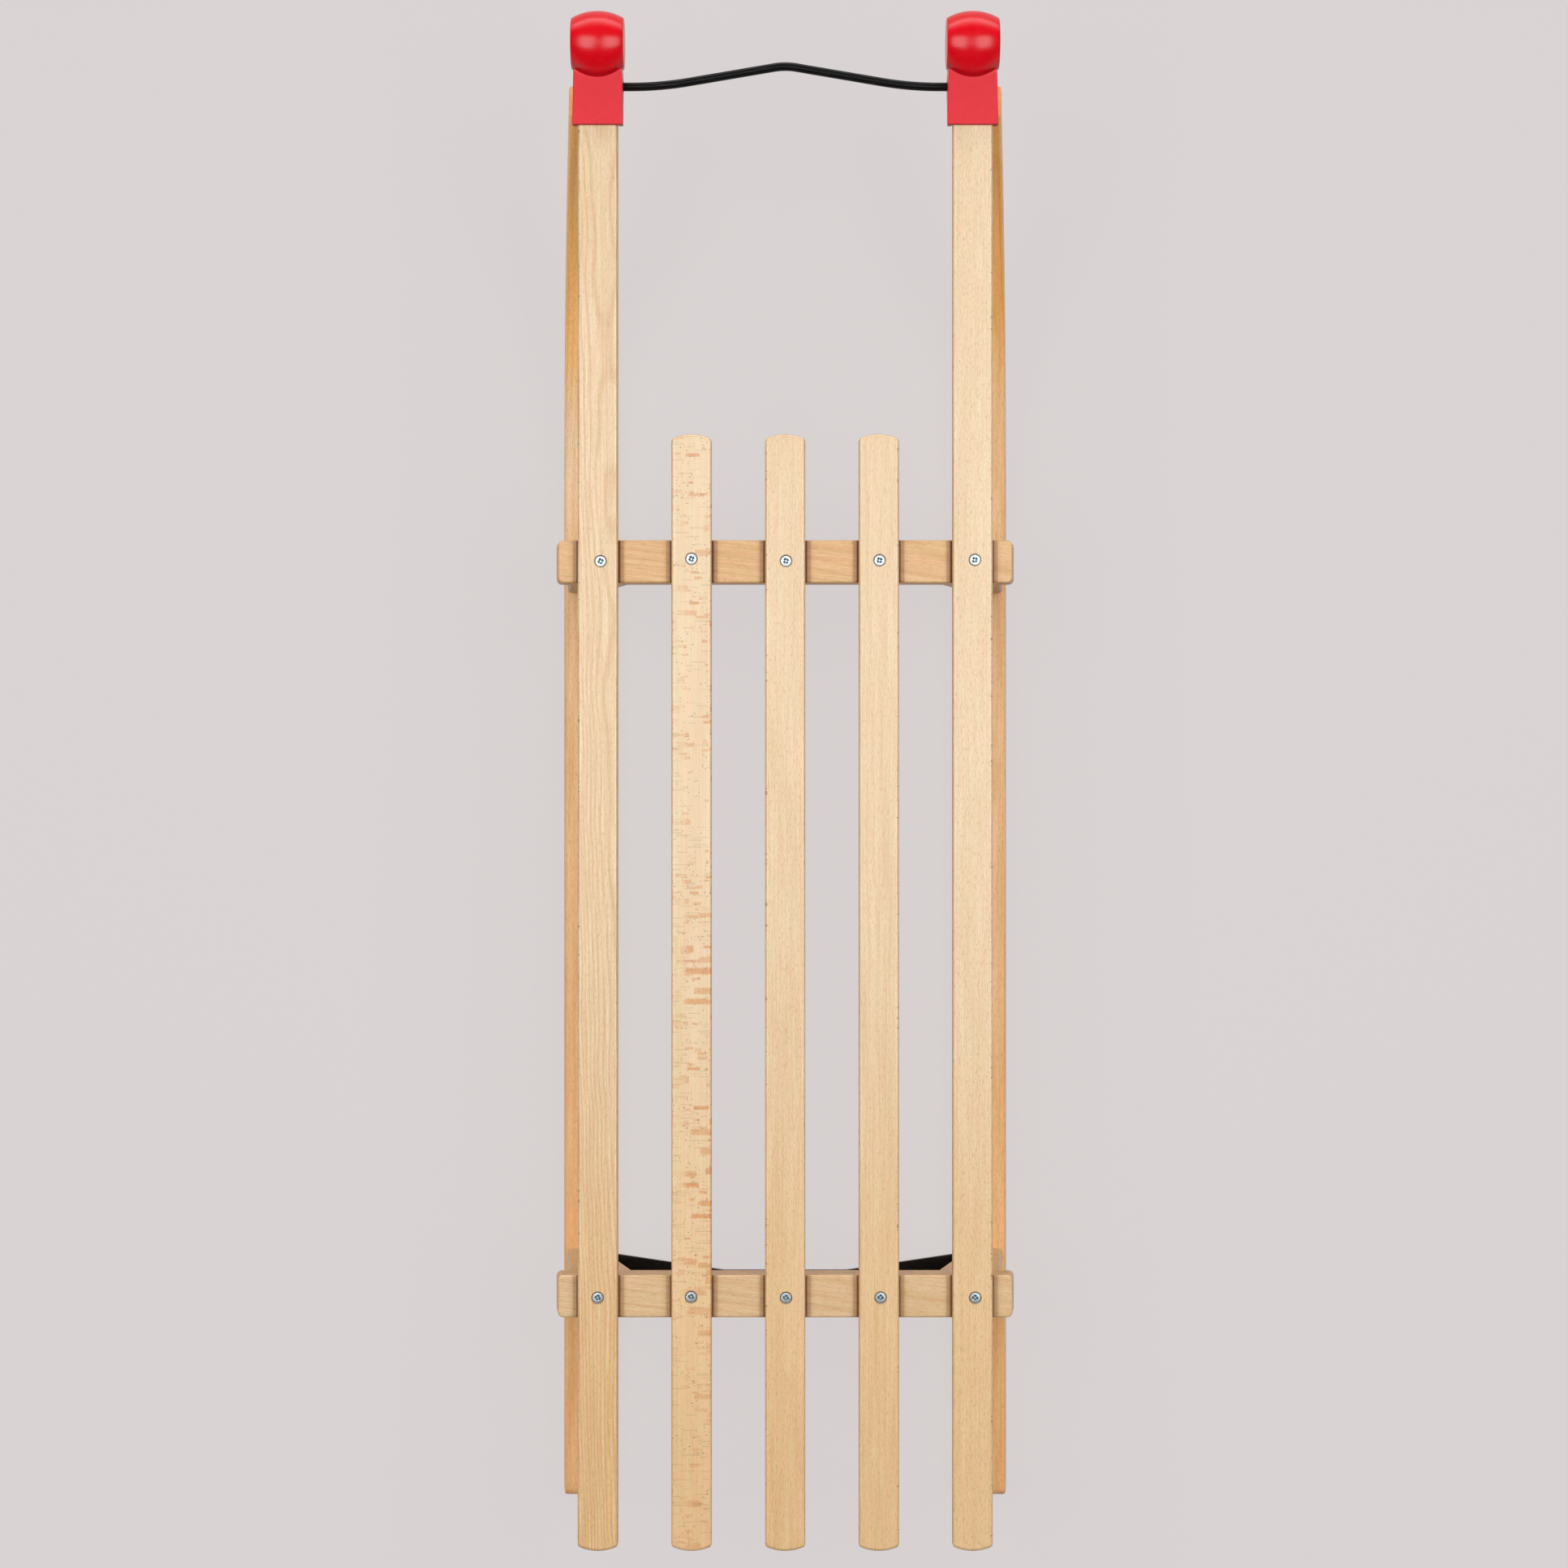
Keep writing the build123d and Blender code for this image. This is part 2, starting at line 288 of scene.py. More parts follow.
for side in (-1, 1):
    place, aim = (side * BOX_APART, 0.38, 3.4), (side * 0.1, 0.2, 0.2)
    make_softbox(f"softbox_{side}", place, aim, BOX_SIZE, BOX_POWER)
make_softbox("ceiling_spill", (0, 0.32, 3.6), (0, 0.2, 0.2), SPILL_SIZE, SPILL_POWER)
print("lamps", [lamp.name for lamp in bpy.data.lights])

# %% [markdown]
# ## Steamed beech
#
# Beech is a plain, even wood. What gives it away are its rays, thin plates that run out from the
# heart of the tree. Cut across their edges, as on a flat-sawn face, they are short dark ticks along
# the grain. Cut along their faces, as on a quarter-sawn board, they are broad shining flecks across
# it. Painting both by hand would mean two woods. Here the rays are small boxes in space, thin
# around the tree, short along it and long outwards, so each face of each piece cuts them as a saw
# would. On a quarter-sawn face the boxes come in four kinds: bold flecks, which fade towards the
# tail, broad ones in clusters, fine lines, and dark specks.

# %% rays
BOLD_RAY = (7.5, 14.0, 32.0)  # mm along the grain, around the tree and outwards
BROAD_RAY = (4.0, 5.0, 12.0)
FINE_RAY = (1.7, 3.0, 20.0)
SPECK = (2.2, 2.2, 3.2)


def ray_boxes(net, along, around, outward, size, fill, seed):
    """1 inside small boxes of those three sizes, one to a cell, each its own strength."""
    comb = net.noise(along / 11.0, around / 0.7, outward / 0.55 + seed, 0.0)
    spread = along + (comb - 0.5) * 0.35 * size[0]
    cells = net.vector(spread / size[0] + seed, around / size[1], outward / size[2])
    near = net.node("ShaderNodeTexVoronoi", {"distance": "CHEBYCHEV"}, {"Vector": cells, "Scale": 1.0})
    share = net.split(Wire(net, near.socket.node.outputs["Color"]))
    reach = (share[0] * 0.6 + 0.4) * fill
    inside = (near - reach).rise(0.01, -0.02)
    return inside * (share[1] * 0.35 + 0.65)


def flat_rays(net, along, around, outward, seed):
    """Short dark ticks along the grain, with a few longer ones among them."""
    short = net.noise(along / 3.4 + seed, around / 0.75, outward / 5.0, 1.0).rise(0.53, 0.72)
    long = net.noise(along / 8.0 + seed, around / 0.65, outward / 7.0 + 9, 0.5).rise(0.60, 0.72)
    return short.math("MAXIMUM", long * 0.8)


def quarter_rays(net, along, around, outward, seed):
    """The flecks, the fine lines and the specks of a quarter-sawn face."""
    clusters = net.noise(along / 24 + seed, outward / 11, 0.0, 1.0).rise(0.41, 0.50)
    heartward = outward.rise(-8, -1) * 0.75 + 0.25
    bold = ray_boxes(net, along, around, outward, BOLD_RAY, 0.36, seed) * heartward
    broad = ray_boxes(net, along, around, outward, BROAD_RAY, 0.32, seed + 2)
    broad = broad * clusters * (heartward * 0.6 + 0.3)
    fine = ray_boxes(net, along, around, outward, FINE_RAY, 0.30, seed + 7)
    specks = ray_boxes(net, along, around, outward, SPECK, 0.22, seed + 13) * clusters
    tail = along.rise(-350, -430) * 0.5
    return bold.math("MAXIMUM", broad) * (1 - tail), fine, specks


print("boldest ray", BOLD_RAY, "mm")

# %% [markdown]
# Use leaves its marks on the wood: the softest edge is chipped in places. Two more marks are
# painted shade: a dark rim round the mouth of each screw hole, and on top of a crosspiece beside
# each slat a wide soft band with a thin dark line. Each mark is found by its place, so it stays
# where it is when the pieces are seen from elsewhere.

# %% marks of use
CHIP_BROWN = (0.30, 0.17, 0.08)
SOFT_SHADE_COLOUR = (0.74, 0.64, 0.55)
CONTACT_SHADE_COLOUR = (0.22, 0.11, 0.04)
HOLE_SHADE_COLOUR = (0.40, 0.36, 0.32)
SLAT_PITCH = 70.0
SLAT_HALF = 15.0


def chipped(net, colour, along, across, deep, edge, seed):
    """Small brown chips in groups, along the edge that lies so far across."""
    near = abs(across - edge).rise(1.2, 0.5)
    dashes = net.noise(along / 2.6 + seed, across / 30, deep / 30, 1.0).rise(0.64, 0.70)
    groups = net.noise(along / 60 + seed, 0.0, 0.0, 1.0).rise(0.40, 0.55)
    return net.mix(near * dashes * groups * 0.8, colour, CHIP_BROWN)


def painted_slat_shade(net, colour, strength):
    """Painted shade beside each slat, on top of a crosspiece: a wide soft band and a thin dark line."""
    x = net.place()[0]
    to_slat = abs(x.math("PINGPONG", SLAT_PITCH / 2) - SLAT_HALF)
    on_top = net.facing()[2].rise(0.3, 0.8) * strength
    colour = net.tint(to_slat.rise(5.2, 3.4) * on_top, colour, SOFT_SHADE_COLOUR)
    return net.tint(to_slat.rise(2.0, 0.9) * on_top, colour, CONTACT_SHADE_COLOUR)


def painted_hole_shade(net, colour, along, across, hole):
    """Painted shade: a dark rim round the mouth of a screw hole, whose place is given as along and across.
    """
    off_along, off_across = along - hole[0], across - hole[1]
    reach = (off_along * off_along + off_across * off_across).math("SQRT")
    return net.tint(reach.rise(5.1, 4.6), colour, HOLE_SHADE_COLOUR)


print("slats every", SLAT_PITCH, "mm")

# %% [markdown]
# Growth rings are cylinders around a far-off heart, and fibres are very long thin noise. Faces that
# turn away from the top, the sawn sides and end grain, are painted a little darker, as painted
# shade. The colour changes along the length too, also as painted shade: darker and warmer towards
# the tails, where the lamps' gloss dies out, and more orange round the bend of a runner, where its
# top turns away from the lamps. The lacquer is thin and a little rough, so its clear coat fades out
# at a grazing angle. A full coat would mirror the bright window there and turn the slats white.

# %% growth rings
def late_rings(net, along, across, deep, heart, drift, ring, seed):
    """1 in the dark late wood of each yearly ring, and 0 in the early wood between."""
    wander = net.noise(along / 90, across / 40 + seed, deep / 40, 1.0)
    side_step = across + along * drift - heart[0]
    down_step = deep - heart[1]
    radius = (side_step * side_step + down_step * down_step).math("SQRT") + (wander - 0.5) * 6
    return ((radius * (2 * math.pi / ring)).math("SINE") * 0.5 + 0.5).math("POWER", 3.0)


print("growth rings are ready")

# %% beech
PALE_BEECH = (0.812, 0.625, 0.368)
WARM_BEECH = (0.700, 0.482, 0.229)
RAY_TINT = (0.85, 0.54, 0.28)
FINE_TINT = (0.78, 0.75, 0.66)
SPECK_TINT = (0.54, 0.50, 0.48)
TICK_TINT = (0.80, 0.71, 0.59)
GLINT_TINT = (1.05, 1.10, 1.20)
ROSE_TINT = (1.02, 0.96, 1.00)
RING_TINT = (0.90, 0.80, 0.66)
SIDE_SHADE_COLOUR = (0.74, 0.63, 0.50)
BASE_SPECULAR = 0.25
COAT_ROUGHNESS = 0.34
COAT_IOR = 1.8


def beech(name, grain, pale=PALE_BEECH, warm=WARM_BEECH, quarter=False, heart=(14.0, -38.0), drift=0.02,
          ring=2.6, rings=0.5, ticks=0.8, bands=0.5, chips=None, joints=0.0, holes=(), along_tints=(), sides=1.0,
          gloss=1.0, seed=0.0):
    """Lacquered beech. grain(net) gives along, across and deep in mm for that piece."""
    material, net = new_material(name)
    along, across, deep = grain(net)
    around, outward = (deep, across) if quarter else (across, deep)
    slow = net.noise(along / 160 + seed, across / 12, deep / 12)
    rosy = net.noise(along / 40 + seed, across / 5, deep / 8, 1.0)
    fibre = net.noise(along / 11, across / 0.55 + seed, deep / 0.55, 1.5)
    streak = net.noise(along / 75, across / 1.5 + seed, deep / 1.5)
    late_wood = late_rings(net, along, across, deep, heart, drift, ring, seed) * rings
    warmth = slow.rise(0.25, 0.8) * 0.40 + streak.rise(0.3, 0.7) * bands + fibre.rise(0.25, 0.75) * 0.28
    colour = net.mix(warmth, pale, warm)
    colour = net.tint(rosy.rise(0.4, 0.6), colour, ROSE_TINT)
    # Tints along the length: painted shade towards the tails and round the bends, and a paler stretch on
    # the left runner.
    for start, end, tint in along_tints:
        colour = net.tint(along.rise(start, end), colour, tint)
    colour = net.tint(late_wood, colour, RING_TINT)
    if quarter:
        rays, fine, specks = quarter_rays(net, along, around, outward, seed)
        colour = net.tint(rays, colour, RAY_TINT)
        colour = net.tint(fine * 0.8, colour, FINE_TINT)
        colour = net.tint(specks, colour, SPECK_TINT)
    else:
        rays = flat_rays(net, along, around, outward, seed) * ticks
        colour = net.tint(rays, colour, TICK_TINT)
    # Painted glints: small flecks are lightened and blued, as if they caught the light.
    glints = net.noise(along / 4.2 + seed, across / 0.8, deep / 5.0 + 31, 1.0).rise(0.56, 0.74)
    colour = net.tint(glints * ticks, colour, GLINT_TINT)
    # Painted shade: faces that turn away from the top are darker.
    side_shade = abs(net.facing()[2]).rise(0.72, 0.2)
    colour = net.tint(side_shade * sides, colour, SIDE_SHADE_COLOUR)
    if chips is not None:
        colour = chipped(net, colour, along, across, deep, chips, seed)
    # Painted shade beside the slats, on top of a crosspiece.
    if joints:
        colour = painted_slat_shade(net, colour, joints)
    # Painted shade round each countersunk hole.
    for hole in holes:
        colour = painted_hole_shade(net, colour, along, across, hole)
    grazing = net.node("ShaderNodeLayerWeight", None, {"Blend": 0.5}, "Facing").rise(0.35, 0.8)
    net.principled({
        "Base Color": colour,
        "Roughness": 0.38 + streak * 0.08 + rays * 0.06,
        "Normal": net.bump(fibre * 0.5 - rays * 0.5 - late_wood * 0.3, 0.35, 0.00012),
        "Specular IOR Level": BASE_SPECULAR,
        "Coat Weight": (1 - grazing * 0.9) * gloss,
        "Coat Roughness": COAT_ROUGHNESS,
        "Coat IOR": COAT_IOR,
    })
    return material


print("beech is ready")

# %% [markdown]
# ## Skins over rings
#
# Every wooden piece is a bar with worn round edges. A box with a bevel would do, but the bowed
# ends, sloping ends and the bend of the runners would each need another trick. One helper makes
# them all: a closed skin stretched over rings with equal numbers of points. Rounding an edge is
# then a few more rings, each a little smaller. Holes and seats are cut by booleans, one at a time
# and applied at once. Weighted normals keep the big faces flat in the light and let only the round
# edges turn.

# %% skins
def skin(name, rings):
    """A closed skin over rings with equal numbers of points, with a flat face at each end."""
    count = len(rings[0])
    points = [point for ring in rings for point in ring]
    faces = []
    for start in range(0, count * (len(rings) - 1), count):
        for i in range(count):
            j = (i + 1) % count
            faces.append((start + i, start + j, start + j + count, start + i + count))
    faces.append(tuple(range(count)))
    faces.append(tuple(range(len(points) - count, len(points))))
    return solid(name, points, faces)


def solid(name, points, faces):
    """A mesh object from closed faces, with its normals turned outwards."""
    mesh = bpy.data.meshes.new(name)
    mesh.from_pydata(points, [], faces)
    shape = bmesh.new()
    shape.from_mesh(mesh)
    bmesh.ops.recalc_face_normals(shape, faces=shape.faces)
    shape.to_mesh(mesh)
    shape.free()
    made = bpy.data.objects.new(name, mesh)
    bpy.context.scene.collection.objects.link(made)
    return made


def turned(name, profile, turns=40):
    """A shape turned about Z from pairs of radius and height."""
    angles = [2 * math.pi * i / turns for i in range(turns)]
    return skin(name, [[(r * math.cos(a), r * math.sin(a), z) for a in angles] for r, z in profile])


print("skins are ready")

# %% joining and dressing
def settle(piece):
    """Applies the modifiers, so that the mesh itself has the shape."""
    graph = bpy.context.evaluated_depsgraph_get()
    shaped = bpy.data.meshes.new_from_object(piece.evaluated_get(graph))
    piece.modifiers.clear()
    piece.data = shaped
    shaped.name = piece.name


def combine(piece, other, operation):
    """Cuts piece with other, or joins them, and keeps only the result."""
    step = piece.modifiers.new("combine", "BOOLEAN")
    step.operation = operation
    step.object = other
    settle(piece)
    bpy.data.objects.remove(other)


def dress(piece, material, slot, *nodes, crease=40):
    """Gives a finished piece its material and hides the solids that it stands for. The slot is not used."""
    piece.data.materials.clear()
    piece.data.materials.append(material)
    piece.data.shade_smooth()
    piece.data.set_sharp_from_angle(angle=math.radians(crease))
    weighted = piece.modifiers.new("weighted", "WEIGHTED_NORMAL")
    weighted.keep_sharp = True
    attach(piece, "root")
    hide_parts(*nodes)
    print(piece.name, "faces", len(piece.data.polygons))


print("joining and dressing are ready")

# %% round edges
def worn_edges(low, high, low_radius, high_radius, steps=4):
    """Pairs of inset and height, going up a bar whose lower and upper edges are round."""
    quarter = [math.pi / 2 * i / steps for i in range(steps + 1)]
    lower = [(low_radius * (1 - math.sin(a)), low + low_radius * (1 - math.cos(a))) for a in quarter]
    upper = [(high_radius * (1 - math.cos(a)), high - high_radius * (1 - math.sin(a))) for a in quarter]
    return lower + upper


def round_box(half_x, half_y, corner, inset=0.0, steps=4):
    """A rectangle with round corners about the origin, anticlockwise, drawn inset from its edge."""
    ring = []
    for turn, (sx, sy) in enumerate(((1, 1), (-1, 1), (-1, -1), (1, -1))):
        for i in range(steps + 1):
            angle = math.pi / 2 * (turn + i / steps)
            x = sx * (half_x - corner) + (corner - inset) * math.cos(angle)
            y = sy * (half_y - corner) + (corner - inset) * math.sin(angle)
            ring.append((x, y))
    return ring


print("round edges are ready")

# %% [markdown]
# ## Seat slats
#
# A slat is a planed bar with a shallow bow cut at its ends and a countersunk hole over each
# crosspiece. The outer two are longer and end square inside the caps. Their outline is made of
# exact arcs, so that the round edge can be a smaller copy of the same outline.

# %% slat outline
SLAT_BOW = 3.5 * mm
SLAT_CORNER = 3.0 * mm


def bowed_end(half, inset, steps=5, crown=12):
    """The bowed end of a slat in plan, right side to left, with its tip at y = 0."""
    radius = (half**2 + SLAT_BOW**2) / (2 * SLAT_BOW)
    x = half - SLAT_CORNER
    y = math.sqrt((radius - SLAT_CORNER) ** 2 - x**2) - radius
    lean = math.atan2(y + radius, x)
    corner = []
    for i in range(steps + 1):
        angle = lean * i / steps
        reach = SLAT_CORNER - inset
        corner.append((x + reach * math.cos(angle), y + reach * math.sin(angle)))
    bow = []
    for i in range(1, crown):
        angle = lean + (math.pi - 2 * lean) * i / crown
        bow.append(((radius - inset) * math.cos(angle), (radius - inset) * math.sin(angle) - radius))
    return corner + bow + [(-px, py) for px, py in reversed(corner)]


def slat_ring(box, z, inset, square_front):
    low, high = box
    middle, half = (low.x + high.x) / 2, (high.x - low.x) / 2
    rear = [(middle - px, low.y - py, z) for px, py in bowed_end(half, inset)]
    if square_front:
        front = [(middle + half - inset, high.y - inset, z), (middle - half + inset, high.y - inset, z)]
    else:
        front = [(middle + px, high.y + py, z) for px, py in bowed_end(half, inset)]
    return front + rear


print("slat ends bow by", SLAT_BOW / mm, "mm")

# %% screw holes
HEAD_RADIUS = 3.9 * mm
HOLE_RADIUS = 4.6 * mm
SHANK_RADIUS = 2.2 * mm
BORE_DEPTH = 12 * mm


def countersink(x, y, top):
    """The cutter for a screw hole: the cone of the head, open at the top, and the shank's bore."""
    levels = [(HOLE_RADIUS + 0.1 * mm, 0.5 * mm), (HOLE_RADIUS, 0), (HEAD_RADIUS, -0.8 * mm)]
    levels += [(SHANK_RADIUS, -3.2 * mm), (SHANK_RADIUS, -BORE_DEPTH)]
    cutter = turned("cutter", levels, 32)
    cutter.data.transform(Matrix.Translation((x, y, top)))
    return cutter


print("screw holes", 2 * HOLE_RADIUS / mm, "mm across")

# %% [markdown]
# The holes were drilled by hand, so the screws stand a little off the middle of their slats.

# %% screw places
SLATS = ("slat_outer_left", "slat_inner_left", "slat_centre", "slat_inner_right", "slat_outer_right")
OFF_MIDDLE = {
    "slat_outer_left": ((2.2, -0.4), (0.0, 0.3)),
    "slat_inner_left": ((0.0, 1.4), (-0.3, 0.8)),
    "slat_centre": ((0.6, -0.2), (0.6, 0.2)),
    "slat_inner_right": ((0.4, 0.3), (1.2, 0.4)),
    "slat_outer_right": ((1.6, 0.6), (1.8, 0.3)),
}
CROSS_YS = [sum(corner.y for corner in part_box(f"crosspiece_{end}")) / 2 for end in ("front", "rear")]

screw_places = []
for name in SLATS:
    low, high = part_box(name)
    for y, (dx, dy) in zip(CROSS_YS, OFF_MIDDLE[name]):
        screw_places.append((name, (low.x + high.x) / 2 + dx * mm, y + dy * mm, high.z))
print("screws", len(screw_places))

# %% slats
TOP_EDGE = 2.2 * mm
LOW_EDGE = 1.0 * mm
# Painted shade: the tails turn darker and warmer, where the lamps' gloss dies out.
TAIL_SHADE_COLOUR = (1.02, 0.93, 0.80)
SLAT_ALONG_TINTS = [(-150, -420, TAIL_SHADE_COLOUR)]  # from and to, in mm along the slat
SEAT_HEIGHT = 215.0


def slat_grain(middle):
    def grain(net):
        x, y, z = net.place()
        return y, x - middle, z - SEAT_HEIGHT
    return grain


SLAT_WOOD = {
    "slat_outer_left": dict(pale=(0.818, 0.640, 0.382), warm=(0.705, 0.492, 0.238), rings=1.0, ring=1.9,
                            drift=0.03, heart=(16.0, -30.0), bands=1.0, chips=-14.0, seed=3.1),
    "slat_inner_left": dict(quarter=True, rings=0.12, heart=(-60.0, -4.0), drift=0.0, bands=0.3, seed=11.7),
    "slat_centre": dict(rings=0.2, heart=(-4.0, -45.0), chips=-14.0, seed=23.9),
    "slat_inner_right": dict(rings=0.2, heart=(22.0, -60.0), ticks=0.7, chips=14.0, seed=37.3),
    "slat_outer_right": dict(rings=0.15, heart=(2.0, -52.0), ticks=0.9, bands=0.4, chips=14.0, seed=51.5),
}


def make_slat(name):
    low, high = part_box(name)
    levels = worn_edges(low.z, high.z, LOW_EDGE, TOP_EDGE)
    slat = skin(name + "_wood", [slat_ring((low, high), z, inset, "outer" in name) for inset, z in levels])
    middle = (low.x + high.x) / 2 / mm
    holes = []
    for owner, x, y, top in screw_places:
        if owner == name:
            combine(slat, countersink(x, y, top), "DIFFERENCE")
            holes.append((y / mm, x / mm - middle))
    wood = beech("beech_" + name, slat_grain(middle), holes=holes, along_tints=SLAT_ALONG_TINTS, **SLAT_WOOD[name])
    dress(slat, wood, "slat_wood", name)


for name in SLATS:
    make_slat(name)

# %% [markdown]
# ## Crosspieces
#
# Two stout bars carry the slats. Their ends slope outwards going down, and their standing corners
# are rounded more than their long edges. Rings stacked upwards take both: each is a round-cornered
# rectangle as long as the bar is at that height.

# %% crosspieces
PALE_FRAME = (0.800, 0.535, 0.270)
WARM_FRAME = (0.673, 0.414, 0.180)
PALE_REAR = (0.770, 0.570, 0.322)
WARM_REAR = (0.655, 0.452, 0.231)
CROSS_CORNER = 4.0 * mm
CROSS_SLOPE = 2.8 * mm
CROSS_EDGE = 1.6 * mm


def cross_grain(seed):
    def grain(net):
        x, y, z = net.place()
        return x + seed, y + x * 0.10, z
    return grain


def make_crosspiece(end, pale, warm, joints, seed):
    low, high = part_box(f"crosspiece_{end}")
    middle = (low.y + high.y) / 2
    rings = []
    for inset, z in worn_edges(low.z, high.z, LOW_EDGE, CROSS_EDGE):
        half_x = high.x - CROSS_SLOPE * (z - low.z) / (high.z - low.z)
        outline = round_box(half_x, (high.y - low.y) / 2, CROSS_CORNER, inset)
        rings.append([(x, middle + y, z) for x, y in outline])
    bar = skin(f"crosspiece_{end}_wood", rings)
    wood = beech(f"beech_cross_{end}", cross_grain(seed), pale, warm, ring=3.2, drift=0.05,
                 heart=(middle / mm + 30, 140.0), ticks=0.6, joints=joints, sides=0.7, gloss=0.2,
                 seed=seed / 10)
    dress(bar, wood, "frame_wood", f"crosspiece_{end}")


# The fourth argument is the strength of the painted shade beside the slats.
make_crosspiece("front", PALE_FRAME, WARM_FRAME, 1.0, 17.0)
make_crosspiece("rear", PALE_REAR, WARM_REAR, 0.8, 83.0)

# %% [markdown]
# ## The leaning runner's own directions
#
# The runners lean in towards the seat, so their sections and grain are easiest in their own
# directions: outwards across the runner and upwards in its plane. The floor line is lifted a
# little, because a leaning shoe stands on its inner edge.

# %% runner directions
LEAN = math.radians(4.6)
RUNNER_MID_X = 162.8 * mm
SHOE_WIDE = 25 * mm
SHOE_THICK = 3 * mm
BEND_RADIUS = 345 * mm
BEND_ANGLE = math.radians(50)
TIP_Y = 544 * mm
GROUND = SHOE_WIDE / 2 * math.sin(LEAN)
SLAT_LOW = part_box("slat_centre")[0].z
BEND_HEIGHT = BEND_RADIUS * (1 - math.cos(BEND_ANGLE))
RISE = ((SLAT_LOW - GROUND) / math.cos(LEAN) - SHOE_THICK - BEND_HEIGHT) / math.sin(BEND_ANGLE)
FLAT_TO = TIP_Y - BEND_RADIUS * math.sin(BEND_ANGLE) - RISE * math.cos(BEND_ANGLE)


def on_runner(side, out, y, up):
    """A point so far outwards and upwards in the leaning runner's own directions."""
    x = side * (RUNNER_MID_X + out * math.cos(LEAN) - up * math.sin(LEAN))
    return x, y, GROUND + out * math.sin(LEAN) + up * math.cos(LEAN)


def on_bend(distance, height):
    """Y and up of a point so far past the flat part, measured along the wood's underside."""
    radius = BEND_RADIUS + SHOE_THICK - height
    angle = min(max(distance / BEND_RADIUS, 0), BEND_ANGLE)
    straight = distance - angle * BEND_RADIUS
    y = FLAT_TO + radius * math.sin(angle) + straight * math.cos(angle)
    return y, BEND_RADIUS + SHOE_THICK - radius * math.cos(angle) + straight * math.sin(angle)


print("flat up to", round(FLAT_TO / mm, 1), "mm, then a rise of", round(RISE / mm, 1), "mm above the bend")

# %% [markdown]
# ## Runners
#
# Each runner is one bar of beech, steamed and bent up at the front, with a round heel. Its skin
# has rings along the bar: close together at the heel and round the bend, far apart where it is
# straight. Above the shoulder it narrows to the tongue that the cap is driven on to. Bent wood
# keeps its grain along the bend, so the grain's coordinates follow the same arc. The two runners
# differ a little: the left one is paler ahead of the middle, and its painted bend shade begins sooner.

# %% runner rings
RUNNER_EDGE = 2.5 * mm


def round_off(distance, radius):
    """How far a round of that radius has drawn in, so far from the end."""
    left = max(radius - distance, 0.0)
    return radius - math.sqrt(max(radius**2 - left**2, 0.0))


def runner_ring(side, distance, half, low, high, shift=0.0):
    middle, tall = (low + high) / 2, (high - low) / 2
    ring = []
    for out, up in round_box(half, tall, min(RUNNER_EDGE, tall * 0.9, half * 0.9)):
        y, height = on_bend(distance, middle + up)
        ring.append(on_runner(side, out + shift, y, height))
    return ring


print("runner edges", RUNNER_EDGE / mm, "mm round")

# %% runner shape
RUNNER_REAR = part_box("runner_left")[0].y
RUNNER_WIDE = 30 * mm
RUNNER_TALL = 34 * mm
HEEL_LOW = 14 * mm
HEEL_HIGH = 5 * mm
HEEL_SIDE = 2 * mm
HEEL_STATIONS = (0.0, 0.2, 0.6, 1.2, 2.0, 3.2, 5.0, 7.5, 10.5, 14.0)
STRAIGHT_STEPS = 12
BEND_STEPS = 28
CAP_FOOT = 30 * mm
SHOULDER = BEND_RADIUS * BEND_ANGLE + RISE - CAP_FOOT  # where the tongue begins, past the flat part
TONGUE_HALF = 9.5 * mm
TONGUE_INSET = 1 * mm
TONGUE_LONG = 18 * mm
TONGUE_SHIFT = -2 * mm


def make_runner_skin(side, hand):
    start = RUNNER_REAR - FLAT_TO
    low, high = SHOE_THICK, SHOE_THICK + RUNNER_TALL
    rings = []
    for station in HEEL_STATIONS:
        reach = station * mm
        half = RUNNER_WIDE / 2 - round_off(reach, HEEL_SIDE)
        heel, top = low + round_off(reach, HEEL_LOW), high - round_off(reach, HEEL_HIGH)
        rings.append(runner_ring(side, start + reach, half, heel, top))
    stations = [start - start * i / STRAIGHT_STEPS for i in range(1, STRAIGHT_STEPS + 1)]
    stations += [BEND_RADIUS * BEND_ANGLE * i / BEND_STEPS for i in range(1, BEND_STEPS + 1)]
    stations.append(SHOULDER)
    rings += [runner_ring(side, d, RUNNER_WIDE / 2, low, high) for d in stations]
    low, high = low + TONGUE_INSET, high - TONGUE_INSET
    for d in (SHOULDER + 0.01 * mm, SHOULDER + TONGUE_LONG):
        rings.append(runner_ring(side, d, TONGUE_HALF, low, high, TONGUE_SHIFT))
    return skin(f"runner_{hand}_wood", rings)


print("tongue", TONGUE_LONG / mm, "mm long")

# %% runner wood
PALE_RUNNER = (0.930, 0.622, 0.335)
WARM_RUNNER = (0.775, 0.460, 0.195)
# Painted shade round the bends, where the top of a runner turns away from the lamps.
BEND_SHADE_COLOUR = (1.07, 0.91, 0.59)
# A paler, bluer stretch of the left runner ahead of its middle.
PALE_AHEAD_TINT = (1.03, 1.19, 1.42)
LEFT_BEND_SHADE_COLOUR = (1.03, 0.82, 0.50)
HANDS = ((-1, "left"), (1, "right"))
# The same painted shade towards the tails of the runners.
RUNNER_TAIL_SHADE = (-160, -610, TAIL_SHADE_COLOUR)
RUNNER_ALONG_TINTS = {  # from and to, in mm past the flat part
    "left": (RUNNER_TAIL_SHADE, (-80, 60, PALE_AHEAD_TINT), (70, 150, LEFT_BEND_SHADE_COLOUR)),
    "right": (RUNNER_TAIL_SHADE, (90, 190, BEND_SHADE_COLOUR)),
}


